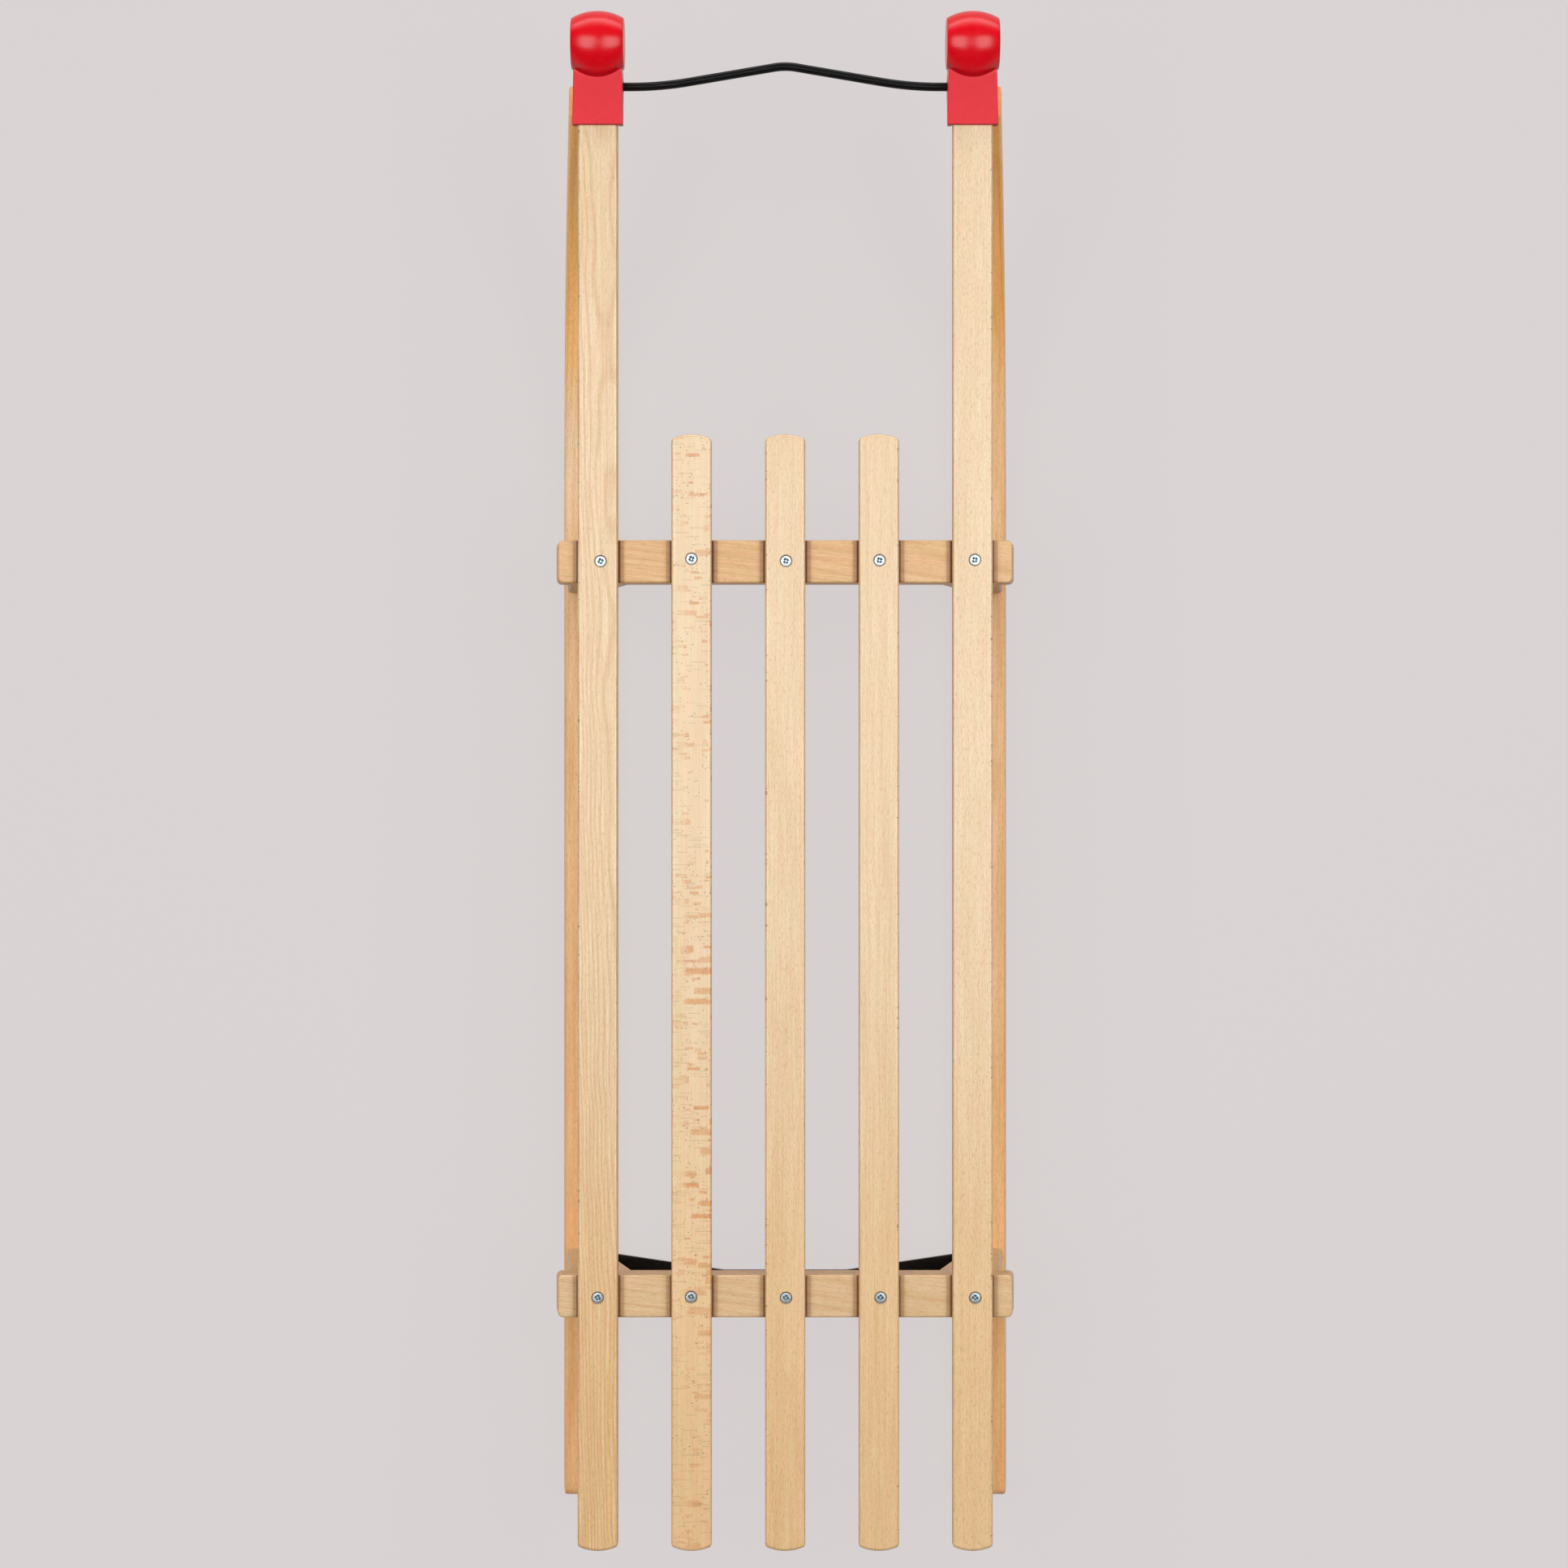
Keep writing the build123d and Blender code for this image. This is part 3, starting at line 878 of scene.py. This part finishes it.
def runner_grain(side, seed):
    def grain(net):
        x, y, z = net.place()
        outwards, upwards = x * side - RUNNER_MID_X / mm, z - GROUND / mm
        out = outwards * math.cos(LEAN) + upwards * math.sin(LEAN)
        up = upwards * math.cos(LEAN) - outwards * math.sin(LEAN)
        ahead = y - FLAT_TO / mm
        down = (BEND_RADIUS + SHOE_THICK) / mm - up
        angle = ahead.math("ARCTAN2", down).math("MAXIMUM", 0.0).math("MINIMUM", BEND_ANGLE)
        sine, cosine = angle.math("SINE"), angle.math("COSINE")
        along = angle * (BEND_RADIUS / mm) + ahead * cosine - down * sine
        deep = (BEND_RADIUS / mm) - (ahead * sine + down * cosine)
        return along + seed, out, deep
    return grain


for side, hand in HANDS:
    runner = make_runner_skin(side, hand)
    shift = 200.0 + 71 * side
    along_tints = [(shift + start, shift + end, tint) for start, end, tint in RUNNER_ALONG_TINTS[hand]]
    wood = beech(f"beech_runner_{hand}", runner_grain(side, shift), PALE_RUNNER, WARM_RUNNER, along_tints=along_tints,
                 rings=0.4, ring=2.8, heart=(8.0 * side, 70.0), ticks=0.7, sides=0.0, gloss=0.2,
                 seed=60 + side * 4.0)
    dress(runner, wood, "runner_wood", f"runner_{hand}")

# %% [markdown]
# ## Legs
#
# A leg is wide under the crosspiece and narrows towards the runner, like a bracket. Two rings are
# enough for a straight taper, one on the leaning top of the runner and one under the crosspiece.

# %% legs
# Painted shade: the legs stand in shade under the seat, so they take a darker, greyer beech than the
# crosspieces.
SHADED_PALE_LEG = (0.660, 0.475, 0.262)
SHADED_WARM_LEG = (0.555, 0.370, 0.172)
LEG_HALF = 15 * mm
LEG_EDGE = 3 * mm
FOOT = (-14.5 * mm, 12.5 * mm)
HAUNCH = (113.5 * mm, 164.5 * mm)


def leg_grain(side):
    def grain(net):
        x, y, z = net.place()
        return z + x * side * 0.18, y, x * side
    return grain


def make_leg(end, hand, side, seed):
    middle = CROSS_YS[0] if end == "front" else CROSS_YS[1]
    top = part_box(f"crosspiece_{end}")[0].z
    foot = [on_runner(side, out, 0, SHOE_THICK + RUNNER_TALL) for out in FOOT]
    low = (foot[0][0], foot[1][0], foot[0][2], foot[1][2])
    high = (side * HAUNCH[0], side * HAUNCH[1], top, top)
    rings = []
    for inner, outer, z_inner, z_outer in (low, high):
        centre, half = (inner + outer) / 2, abs(outer - inner) / 2
        ring = []
        for x, y in round_box(half, LEG_HALF, LEG_EDGE):
            share = (x * side + half) / (2 * half)
            ring.append((centre + x, middle + y, z_inner + (z_outer - z_inner) * share))
        rings.append(ring)
    leg = skin(f"leg_{end}_{hand}_wood", rings)
    wood = beech(f"beech_leg_{end}_{hand}", leg_grain(side), SHADED_PALE_LEG, SHADED_WARM_LEG,
                 heart=(middle / mm + 20, 60.0), ticks=0.6, sides=0.3, gloss=0.2, seed=seed)
    dress(leg, wood, "frame_wood", f"leg_{end}_{hand}")


for count, end in enumerate(("front", "rear")):
    for side, hand in HANDS:
        make_leg(end, hand, side, 5.0 + count * 9 + side * 2)

# %% [markdown]
# ## End caps
#
# Each cap is one moulding in red plastic: a sleeve over the end of the slat that narrows a little
# forwards, a foot that grips the tip of the runner, and a fat rolled nose that is fullest in the
# middle. Across its width the roll draws in more at the front and back than on top, so the light
# lies along its crown in a broad patch. Exact booleans would leave knife edges where the roll
# meets the sleeve. A moulded part has none, so the pieces are joined, the seats are cut, and the
# whole is remeshed in small voxels and smoothed a little, which rounds every edge by about a
# millimetre, outside and in.

# %% cap sleeve
CAP_HALF = 19 * mm
CAP_TAPER = 1.2 * mm
CAP_WALL = 4 * mm
CHIN = (12 * mm, 6 * mm)  # ahead of the slat and above its underside
CAP_MOUTH_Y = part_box("cap_left")[0].y
CAP_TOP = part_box("slat_centre")[1].z + CAP_WALL


def sleeve_block(x):
    """The side view of the sleeve and foot, pushed out to the cap's width."""
    back = (-math.cos(BEND_ANGLE), -math.sin(BEND_ANGLE))
    out = (math.sin(BEND_ANGLE), -math.cos(BEND_ANGLE))

    def off_tip(down, forward):
        return TIP_Y + back[0] * down + out[0] * forward, SLAT_LOW + back[1] * down + out[1] * forward

    front, rear = off_tip(CAP_FOOT, CAP_WALL), off_tip(CAP_FOOT, -RUNNER_TALL - CAP_WALL)
    side_view = [(CAP_MOUTH_Y, CAP_TOP), (TIP_Y, CAP_TOP), (TIP_Y + CHIN[0], SLAT_LOW + CHIN[1]), front,
                 (max(rear[0], CAP_MOUTH_Y), rear[1]), (CAP_MOUTH_Y, rear[1] + CAP_WALL)]
    rings = []
    for s in (-1, 1):
        halves = [CAP_HALF - CAP_TAPER * (y - CAP_MOUTH_Y) / (TIP_Y - CAP_MOUTH_Y) for y, z in side_view]
        rings.append([(x + s * half, y, z) for half, (y, z) in zip(halves, side_view)])
    return skin("sleeve", rings)


print("sleeve", 2 * CAP_HALF / mm, "mm wide at its mouth")

# %% cap nose
NOSE_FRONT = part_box("cap_left")[1].y
NOSE_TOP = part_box("cap_left")[1].z
NOSE_RADIUS = 24.5 * mm
NOSE_END = 5.5 * mm
NOSE_HALF = 19.75 * mm
NOSE_AHEAD = 24 * mm
NOSE_BEHIND = 27 * mm
NOSE_FLATNESS = 0.85
NOSE_TAPER = 1.4
NOSE_STEPS = 12
NOSE_TURNS = 64
NOSE_Y = NOSE_FRONT - NOSE_AHEAD
NOSE_Z = NOSE_TOP - NOSE_RADIUS


def nose_roll(x):
    """A roll across the cap, rounder ahead than behind, and fullest in the middle."""
    crown = (NOSE_HALF**2 + NOSE_END**2) / (2 * NOSE_END)
    rings = []
    for i in range(-NOSE_STEPS, NOSE_STEPS + 1):
        across = NOSE_HALF * i / NOSE_STEPS
        sink = crown - math.sqrt(crown**2 - across**2)
        share = 1 - sink / NOSE_RADIUS
        rise = 1 - NOSE_FLATNESS * sink / NOSE_RADIUS
        ring = []
        for j in range(NOSE_TURNS):
            angle = 2 * math.pi * j / NOSE_TURNS
            reach = NOSE_AHEAD * share if math.sin(angle) > 0 else NOSE_BEHIND * share**NOSE_TAPER
            height = NOSE_RADIUS * rise * math.cos(angle)
            ring.append((x + across, NOSE_Y + reach * math.sin(angle), NOSE_Z + height))
        rings.append(ring)
    return skin("roll", rings)


print("roll", 2 * NOSE_HALF / mm, "mm wide")

# %% [markdown]
# The seats are cut a shade larger than what goes into them, so that plastic and wood do not lie in
# one another. The voxel size decides how much detail survives: 0.6 mm keeps the mouth of the
# sleeve crisp enough and still melts the joint under the nose.

# %% caps
SEAT_GAP = 0.3 * mm
SEAT_INSET = 0.7 * mm
SEAT_REACH = (-8 * mm, 18.5 * mm)  # along the tongue, from its shoulder
CAP_VOXEL = 0.6 * mm
CAP_SMOOTHING = 6


def block(name, low, high):
    """A plain cutter between two corners."""
    side_view = [(low[1], low[2]), (high[1], low[2]), (high[1], high[2]), (low[1], high[2])]
    return skin(name, [[(x, y, z) for y, z in side_view] for x in (low[0], high[0])])


def make_cap(side, hand, finish):
    slat_low, slat_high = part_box(f"slat_outer_{hand}")
    x = (slat_low.x + slat_high.x) / 2
    cap = sleeve_block(x)
    combine(cap, nose_roll(x), "UNION")
    low = (slat_low.x - SEAT_GAP, CAP_MOUTH_Y - 10 * mm, slat_low.z - SEAT_GAP)
    high = (slat_high.x + SEAT_GAP, slat_high.y + SEAT_GAP, slat_high.z + SEAT_GAP)
    combine(cap, block("slat_seat", low, high), "DIFFERENCE")
    low, high = SHOE_THICK + SEAT_INSET, SHOE_THICK + RUNNER_TALL - SEAT_INSET
    half = TONGUE_HALF + SEAT_GAP
    seat = [runner_ring(side, SHOULDER + reach, half, low, high, TONGUE_SHIFT) for reach in SEAT_REACH]
    combine(cap, skin("tongue_seat", seat), "DIFFERENCE")
    remesh = cap.modifiers.new("voxels", "REMESH")
    remesh.mode = "VOXEL"
    remesh.voxel_size = CAP_VOXEL
    smooth = cap.modifiers.new("smooth", "SMOOTH")
    smooth.iterations = CAP_SMOOTHING
    settle(cap)
    cap.name = f"cap_{hand}_moulding"
    dress(cap, finish, "cap_plastic", f"cap_{hand}", crease=180)


print("cap voxels", CAP_VOXEL / mm, "mm")

# %% [markdown]
# The plastic is dyed right through, polished on the roll and finely eroded on the sleeve, which is
# why the sleeve looks a shade paler: the same red with a duller, wider shine. Handling leaves a
# faint unevenness in both. The crease where the back of the roll meets the sleeve is painted a
# darker red, as painted shade. The crease is found by its height and by the way the surface faces
# there.

# %% cap plastic
CAP_RED = (0.700, 0.000, 0.006)
CAP_RED_WORN = (0.800, 0.010, 0.030)
CREASE_SHADE_RED = (0.260, 0.000, 0.004)
SEAM_TALL = 9  # mm
ROLL_BACK = (NOSE_Y / mm - 19, NOSE_Y / mm - 27)


def cap_plastic():
    material, net = new_material("red_plastic")
    x, y, z = net.place()
    sleeve = y.rise(*ROLL_BACK)
    mottle = net.noise(x / 6, y / 6, z / 6, 3.0)
    grit = net.noise(x / 0.5, y / 0.5, z / 0.5)
    scuffs = net.noise(x / 0.8, y / 9, z / 4).rise(0.56, 0.72)
    colour = net.mix(mottle.rise(0.3, 0.7) * 0.2 + sleeve * (scuffs * 0.3 + 0.4), CAP_RED, CAP_RED_WORN)
    # Painted shade: the crease where the back of the roll meets the sleeve is darkened.
    crease_shade = z.rise(CAP_TOP / mm + SEAM_TALL, CAP_TOP / mm) * net.facing()[1].rise(-0.3, -0.7)
    net.principled({
        "Base Color": net.mix(crease_shade * 0.6, colour, CREASE_SHADE_RED),
        "Specular IOR Level": 0.38,
        "Roughness": 0.23 + sleeve * 0.19 + mottle * 0.04,
        "Normal": net.bump(grit * (sleeve * 0.7 + 0.1) + scuffs * 0.4, 0.25, 0.0001),
    })
    return material


red_plastic = cap_plastic()
for side, hand in HANDS:
    make_cap(side, hand, red_plastic)

# %% [markdown]
# ## Pull bar
#
# The bar is a steel rod in a thin black sleeve. It leaves each cap square, bends softly forward
# and turns back over a tight bend in the middle. Its centre line is drawn as straight runs with
# their corners rounded by arcs, and a round section is carried along it.

# %% a rounded line
def rounded_line(corners, radii, steps):
    """A flat line through corners, with an arc of the given radius at each inner one."""
    line = [corners[0]]
    for before, corner, after, radius in zip(corners, corners[1:], corners[2:], radii):
        into = math.atan2(corner[1] - before[1], corner[0] - before[0])
        turn = math.atan2(after[1] - corner[1], after[0] - corner[0]) - into
        reach = radius * math.tan(abs(turn) / 2)
        hand = math.copysign(1, turn)
        start = (corner[0] - reach * math.cos(into), corner[1] - reach * math.sin(into))
        centre = (start[0] - hand * radius * math.sin(into), start[1] + hand * radius * math.cos(into))
        for i in range(steps + 1):
            angle = into + turn * i / steps
            x, y = hand * radius * math.sin(angle), hand * radius * math.cos(angle)
            line.append((centre[0] + x, centre[1] - y))
    return line + [corners[-1]]


print("the rounded line is ready")

# %% pull bar
BAR_RADIUS = 3.25 * mm
BAR_Y = 521.6 * mm
BAR_Z = 196 * mm
BAR_END = 148 * mm
BAR_BEND_X = 94 * mm
BAR_BEND_RADIUS = 260 * mm
BAR_PEAK_RADIUS = 50 * mm
BAR_MIDDLE_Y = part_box("pull_bar")[1].y - BAR_RADIUS
BAR_STEPS = 14
BAR_TURNS = 24


def make_bar(finish):
    slope = (BAR_MIDDLE_Y - BAR_Y) / BAR_BEND_X
    peak_lift = BAR_PEAK_RADIUS * (1 / math.cos(math.atan(slope)) - 1)
    corners = [(-BAR_END, BAR_Y), (-BAR_BEND_X, BAR_Y), (0, BAR_MIDDLE_Y + peak_lift)]
    corners += [(BAR_BEND_X, BAR_Y), (BAR_END, BAR_Y)]
    line = rounded_line(corners, (BAR_BEND_RADIUS, BAR_PEAK_RADIUS, BAR_BEND_RADIUS), BAR_STEPS)
    turns = [2 * math.pi * i / BAR_TURNS for i in range(BAR_TURNS)]
    rings = []
    for i, (x, y) in enumerate(line):
        before, after = line[max(i - 1, 0)], line[min(i + 1, len(line) - 1)]
        heading = math.atan2(after[1] - before[1], after[0] - before[0])
        ring = []
        for a in turns:
            out, up = BAR_RADIUS * math.cos(a), BAR_RADIUS * math.sin(a)
            ring.append((x - math.sin(heading) * out, y + math.cos(heading) * out, BAR_Z + up))
        rings.append(ring)
    bar = skin("pull_bar_rod", rings)
    dress(bar, finish, "black_steel", "pull_bar")


print("bar bowed forward by", round((BAR_MIDDLE_Y - BAR_Y) / mm, 1), "mm")

# %% [markdown]
# Black paint is never quite black or even. A little texture in the gloss and fine grey rubbed
# marks along the metal make it read as a coat of paint, not as a hole.

# %% black paint
PAINT_BLACK = (0.006, 0.006, 0.006)
PAINT_RUBBED = (0.034, 0.034, 0.032)


def black_paint(name, rough, across_scale):
    material, net = new_material(name)
    x, y, z = net.place()
    peel = net.noise(x / 1.1, y / 1.1, z / 1.1)
    rubs = net.noise(x / 22, y / across_scale, z / across_scale, 3.0).rise(0.55, 0.8)
    net.principled({
        "Base Color": net.mix(rubs * 0.6, PAINT_BLACK, PAINT_RUBBED),
        "Specular IOR Level": 0.15,
        "Roughness": rough + peel * 0.08 + rubs * 0.15,
        "Normal": net.bump(peel, 0.2, 0.0001),
    })
    return material


make_bar(black_paint("black_sleeve", 0.22, 1.4))

# %% [markdown]
# ## Braces and shoes
#
# The steel straps under the seat and the steel shoes under the runners have the right shape
# already, so their solids stay and only take a finish. The shoes are bright where they slide:
# long fine scratches along the runner, duller and browner where the steel turns up off the snow.

# %% brace and shoe finishes
STEEL_DULL = (0.42, 0.42, 0.43)
STEEL_BRIGHT = (0.66, 0.66, 0.67)
STEEL_STAIN = (0.24, 0.17, 0.13)


def shoe_steel():
    material, net = new_material("shoe_steel")
    x, y, z = net.place()
    scratches = net.noise(x / 0.35, y / 60, z / 8, 3.0)
    stain = net.noise(x / 5, y / 45, z / 40, 3.0).rise(0.5, 0.8)
    lifted = z.rise(6, 60) * 0.4
    colour = net.mix(scratches, STEEL_DULL, STEEL_BRIGHT)
    net.principled({
        "Base Color": net.mix(stain * (lifted + 0.12), colour, STEEL_STAIN),
        "Metallic": 1.0 - stain * (lifted + 0.1),
        "Roughness": 0.26 + scratches * 0.16 + stain * 0.2,
        "Normal": net.bump(scratches, 0.3, 0.0001),
    })
    return material


def finish_solid(name, material):
    """Puts this material into every slot of a kept solid."""
    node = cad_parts[name]
    for held in node.material_slots:
        held.material = material
    print(name, "kept as it is")


strap_paint = black_paint("strap_paint", 0.34, 3.0)
steel = shoe_steel()
for end in ("front", "rear"):
    finish_solid(f"brace_{end}", strap_paint)
for hand in ("left", "right"):
    finish_solid(f"shoe_{hand}", steel)

# %% [markdown]
# ## Screws
#
# Ten zinc-plated countersunk screws hold the slats, each sunk a little below the wood. A head is a
# turned shape, a nearly flat top with a fine round rim over a cone, with a cross-shaped recess
# pressed into it. Turning comes from rings, the recess from two tapered blades and a core cut out
# by booleans. One head is made, and every screw is a copy of its mesh, each turned as the driver
# left it.

# %% cross recess
RECESS_BLADE = (4.7, 1.9, 1.7)  # length, width and depth
RECESS_CORE = (3.0, 3.0, 1.45)
RECESS_TICK = (5.4, 0.3, 0.25)


def press(head, sizes, unit, turn, top):
    """Cuts one tapered blade of the driver out of the head, at its own turn."""
    length, width, depth = [size * unit for size in sizes]
    rings = []
    for share, z in ((1.0, 1.0 * mm + top), (1.0, top), (0.3, top - depth)):
        x, y = length / 2 * share, width / 2 * (0.6 + 0.4 * share)
        rings.append([(-x, -y, z), (x, -y, z), (x, y, z), (-x, y, z)])
    blade = skin("blade", rings)
    blade.data.transform(Matrix.Rotation(turn, 4, "Z"))
    combine(head, blade, "DIFFERENCE")


def press_recess(head, size, top):
    """Cuts the cross recess, and the four thin ticks between its arms."""
    unit = mm * size
    for turn in (0, math.pi / 2):
        press(head, RECESS_BLADE, unit, turn, top)
    press(head, RECESS_CORE, unit, math.pi / 4, top)
    for turn in (math.pi / 4, -math.pi / 4):
        press(head, RECESS_TICK, unit, turn, top * 0.5)


print("recess", RECESS_BLADE[2], "mm deep")

# %% screw heads
HEAD_DOME = 0.15 * mm
PAN_TALL = 2.0 * mm
PAN_RADIUS = 3.6 * mm
PAN_RECESS = 0.8  # of the recess of a slat screw


def countersunk_head():
    radius = HEAD_RADIUS - 0.02 * mm
    profile = [(1.4 * mm, -11 * mm), (1.5 * mm, -4.2 * mm), (2.1 * mm, -2.6 * mm)]
    profile += [(radius, -0.25 * mm), (radius + 0.02 * mm, -0.12 * mm)]
    profile += [(radius * share, HEAD_DOME * (1 - share**2)) for share in (0.96, 0.9, 0.8, 0.65, 0.45, 0.2)]
    head = turned("countersunk_head", profile)
    press_recess(head, 1.0, HEAD_DOME)
    return head


def pan_head():
    profile = [(1.3 * mm, -9 * mm), (1.3 * mm, 0.0), (PAN_RADIUS, 0.0)]
    for share, height in ((1.0, 0.5), (0.95, 1.1), (0.8, 1.6), (0.55, 1.9), (0.3, PAN_TALL / mm)):
        profile.append((PAN_RADIUS * share, height * mm))
    head = turned("pan_head", profile)
    head.data.transform(Matrix.Translation((0, 0, -PAN_TALL)))
    press_recess(head, PAN_RECESS, 0.0)
    head.data.transform(Matrix.Translation((0, 0, PAN_TALL)))
    return head


print("screw heads", 2 * HEAD_RADIUS / mm, "and", 2 * PAN_RADIUS / mm, "mm across")

# %% [markdown]
# Zinc plate has a cold, faintly blue shine, cloudy where it is handled. As painted shade, its
# tilted faces lean towards the dull tone and the walls of the recess are greyed, while the floor of
# the recess keeps the plain zinc. The shade goes by height, so it needs no second material.

# %% zinc
RECESS_SHADE = (0.07, 0.13, 0.16)


def zinc_plate(name, tones, shade_z=-1.0):
    """Zinc of a bright and a dull tone, with painted shade on the walls of a recess below a height in mm.
    """
    material, net = new_material(name)
    x, y, z = net.place()
    cloud = net.noise(x / 1.6, y / 1.6, z / 1.6, 3.0)
    grain = net.noise(x / 0.3, y / 0.3, z / 0.3)
    flat = abs(net.facing()[2]).rise(0.6, 0.97)
    # The dull tone gathers where handled and, as painted shade, on tilted faces.
    colour = net.mix(cloud.rise(0.3, 0.7) * 0.6 + (1 - flat) * 0.4, *tones)
    # Painted shade on the walls of the recess.
    recess_shade = z.rise(shade_z, shade_z - 0.25) * z.rise(shade_z - 1.5, shade_z - 1.3)
    net.principled({
        "Base Color": net.mix(recess_shade * 0.4, colour, RECESS_SHADE),
        "Metallic": 1.0,
        "Roughness": 0.28 + cloud * 0.14 + recess_shade * 0.2,
        "Normal": net.bump(grain, 0.15, 0.00005),
    })
    return material


print("zinc is ready")

# %% place the screws
HEAD_SUNK = 0.40 * mm
FIRST_TURN = 0.35  # of the first screw, in radians
NEXT_TURN = 2.4
SLAT_ZINC = ((0.56, 0.62, 0.64), (0.28, 0.34, 0.37))
UP = (0, 0, 1)


def drive(name, head, places, material, slot):
    """One mesh of a head repeated at every place: a point, an outward direction and a turn."""
    points, faces = [], []
    for place, direction, turn in places:
        heading = Vector(direction).to_track_quat("Z", "Y").to_matrix().to_4x4()
        pose = Matrix.Translation(place) @ heading @ Matrix.Rotation(turn, 4, "Z")
        start = len(points)
        points += [tuple(pose @ vertex.co) for vertex in head.data.vertices]
        faces += [tuple(start + i for i in face.vertices) for face in head.data.polygons]
    bpy.data.objects.remove(head)
    dress(solid(name, points, faces), material, slot, crease=30)


slat_places = []
for count, (name, x, y, top) in enumerate(screw_places):
    slat_places.append(((x, y, top - HEAD_SUNK), UP, FIRST_TURN + NEXT_TURN * count))
recess_z = (screw_places[0][3] - HEAD_SUNK) / mm - 0.1
slat_zinc = zinc_plate("zinc_plate", SLAT_ZINC, recess_z)
drive("slat_screws", countersunk_head(), slat_places, slat_zinc, "shoe_steel")

# %% [markdown]
# Under the seat, round-headed black screws hold each brace: one through each end into a leg, and
# two up into the crosspiece. The shoes are held by small countersunk screws along their middle.

# %% brace screws
STRAP_THICK = 3 * mm
STRAP_SHIFT = 6 * mm
STRAP_SCREW_Z = 60 * mm
STRAP_SCREW_X = 30 * mm


def brace_places():
    places = []
    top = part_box("crosspiece_front")[0].z
    foot_x, _, foot_z = on_runner(1, FOOT[0], 0, SHOE_THICK + RUNNER_TALL)
    lean = math.atan2(foot_x - HAUNCH[0], top - foot_z)
    for middle in CROSS_YS:
        y = middle + STRAP_SHIFT
        for side in (-1, 1):
            x = HAUNCH[0] + (top - STRAP_SCREW_Z) * math.tan(lean) - STRAP_THICK / math.cos(lean)
            inwards = (-side * math.cos(lean), 0, -math.sin(lean))
            places.append(((side * x, y, STRAP_SCREW_Z), inwards, side + y * 30))
            places.append(((side * STRAP_SCREW_X, y, top - STRAP_THICK), (0, 0, -1), side * 2 + y * 50))
    return places


drive("brace_screws", pan_head(), brace_places(), black_paint("screw_black", 0.3, 0.6), "black_steel")

# %% shoe screws
SHOE_ZINC = ((0.60, 0.62, 0.64), (0.30, 0.31, 0.33))
SHOE_SCREW_SIZE = 0.75  # of a slat screw
SHOE_SCREW_YS = (-535 * mm, -240 * mm, 40 * mm)
SHOE_SCREW_AHEAD = 35 * mm  # past the bend
SHOE_SCREW_UP = -0.12 * mm  # a little under the steel


def shoe_places():
    places = []
    for side in (-1, 1):
        below = (side * math.sin(LEAN), 0, -math.cos(LEAN))
        for y in SHOE_SCREW_YS:
            places.append((on_runner(side, 0, y, SHOE_SCREW_UP), below, y * 9))
        y, up = on_bend(BEND_RADIUS * BEND_ANGLE + SHOE_SCREW_AHEAD, SHOE_SCREW_UP)
        forward, down = math.sin(BEND_ANGLE), -math.cos(BEND_ANGLE)
        ahead = (-side * math.sin(LEAN) * down, forward, math.cos(LEAN) * down)
        places.append((on_runner(side, 0, y, up), ahead, side))
    return places


small_head = countersunk_head()
small_head.data.transform(Matrix.Scale(SHOE_SCREW_SIZE, 4))
drive("shoe_screws", small_head, shoe_places(), zinc_plate("shoe_zinc", SHOE_ZINC), "shoe_steel")
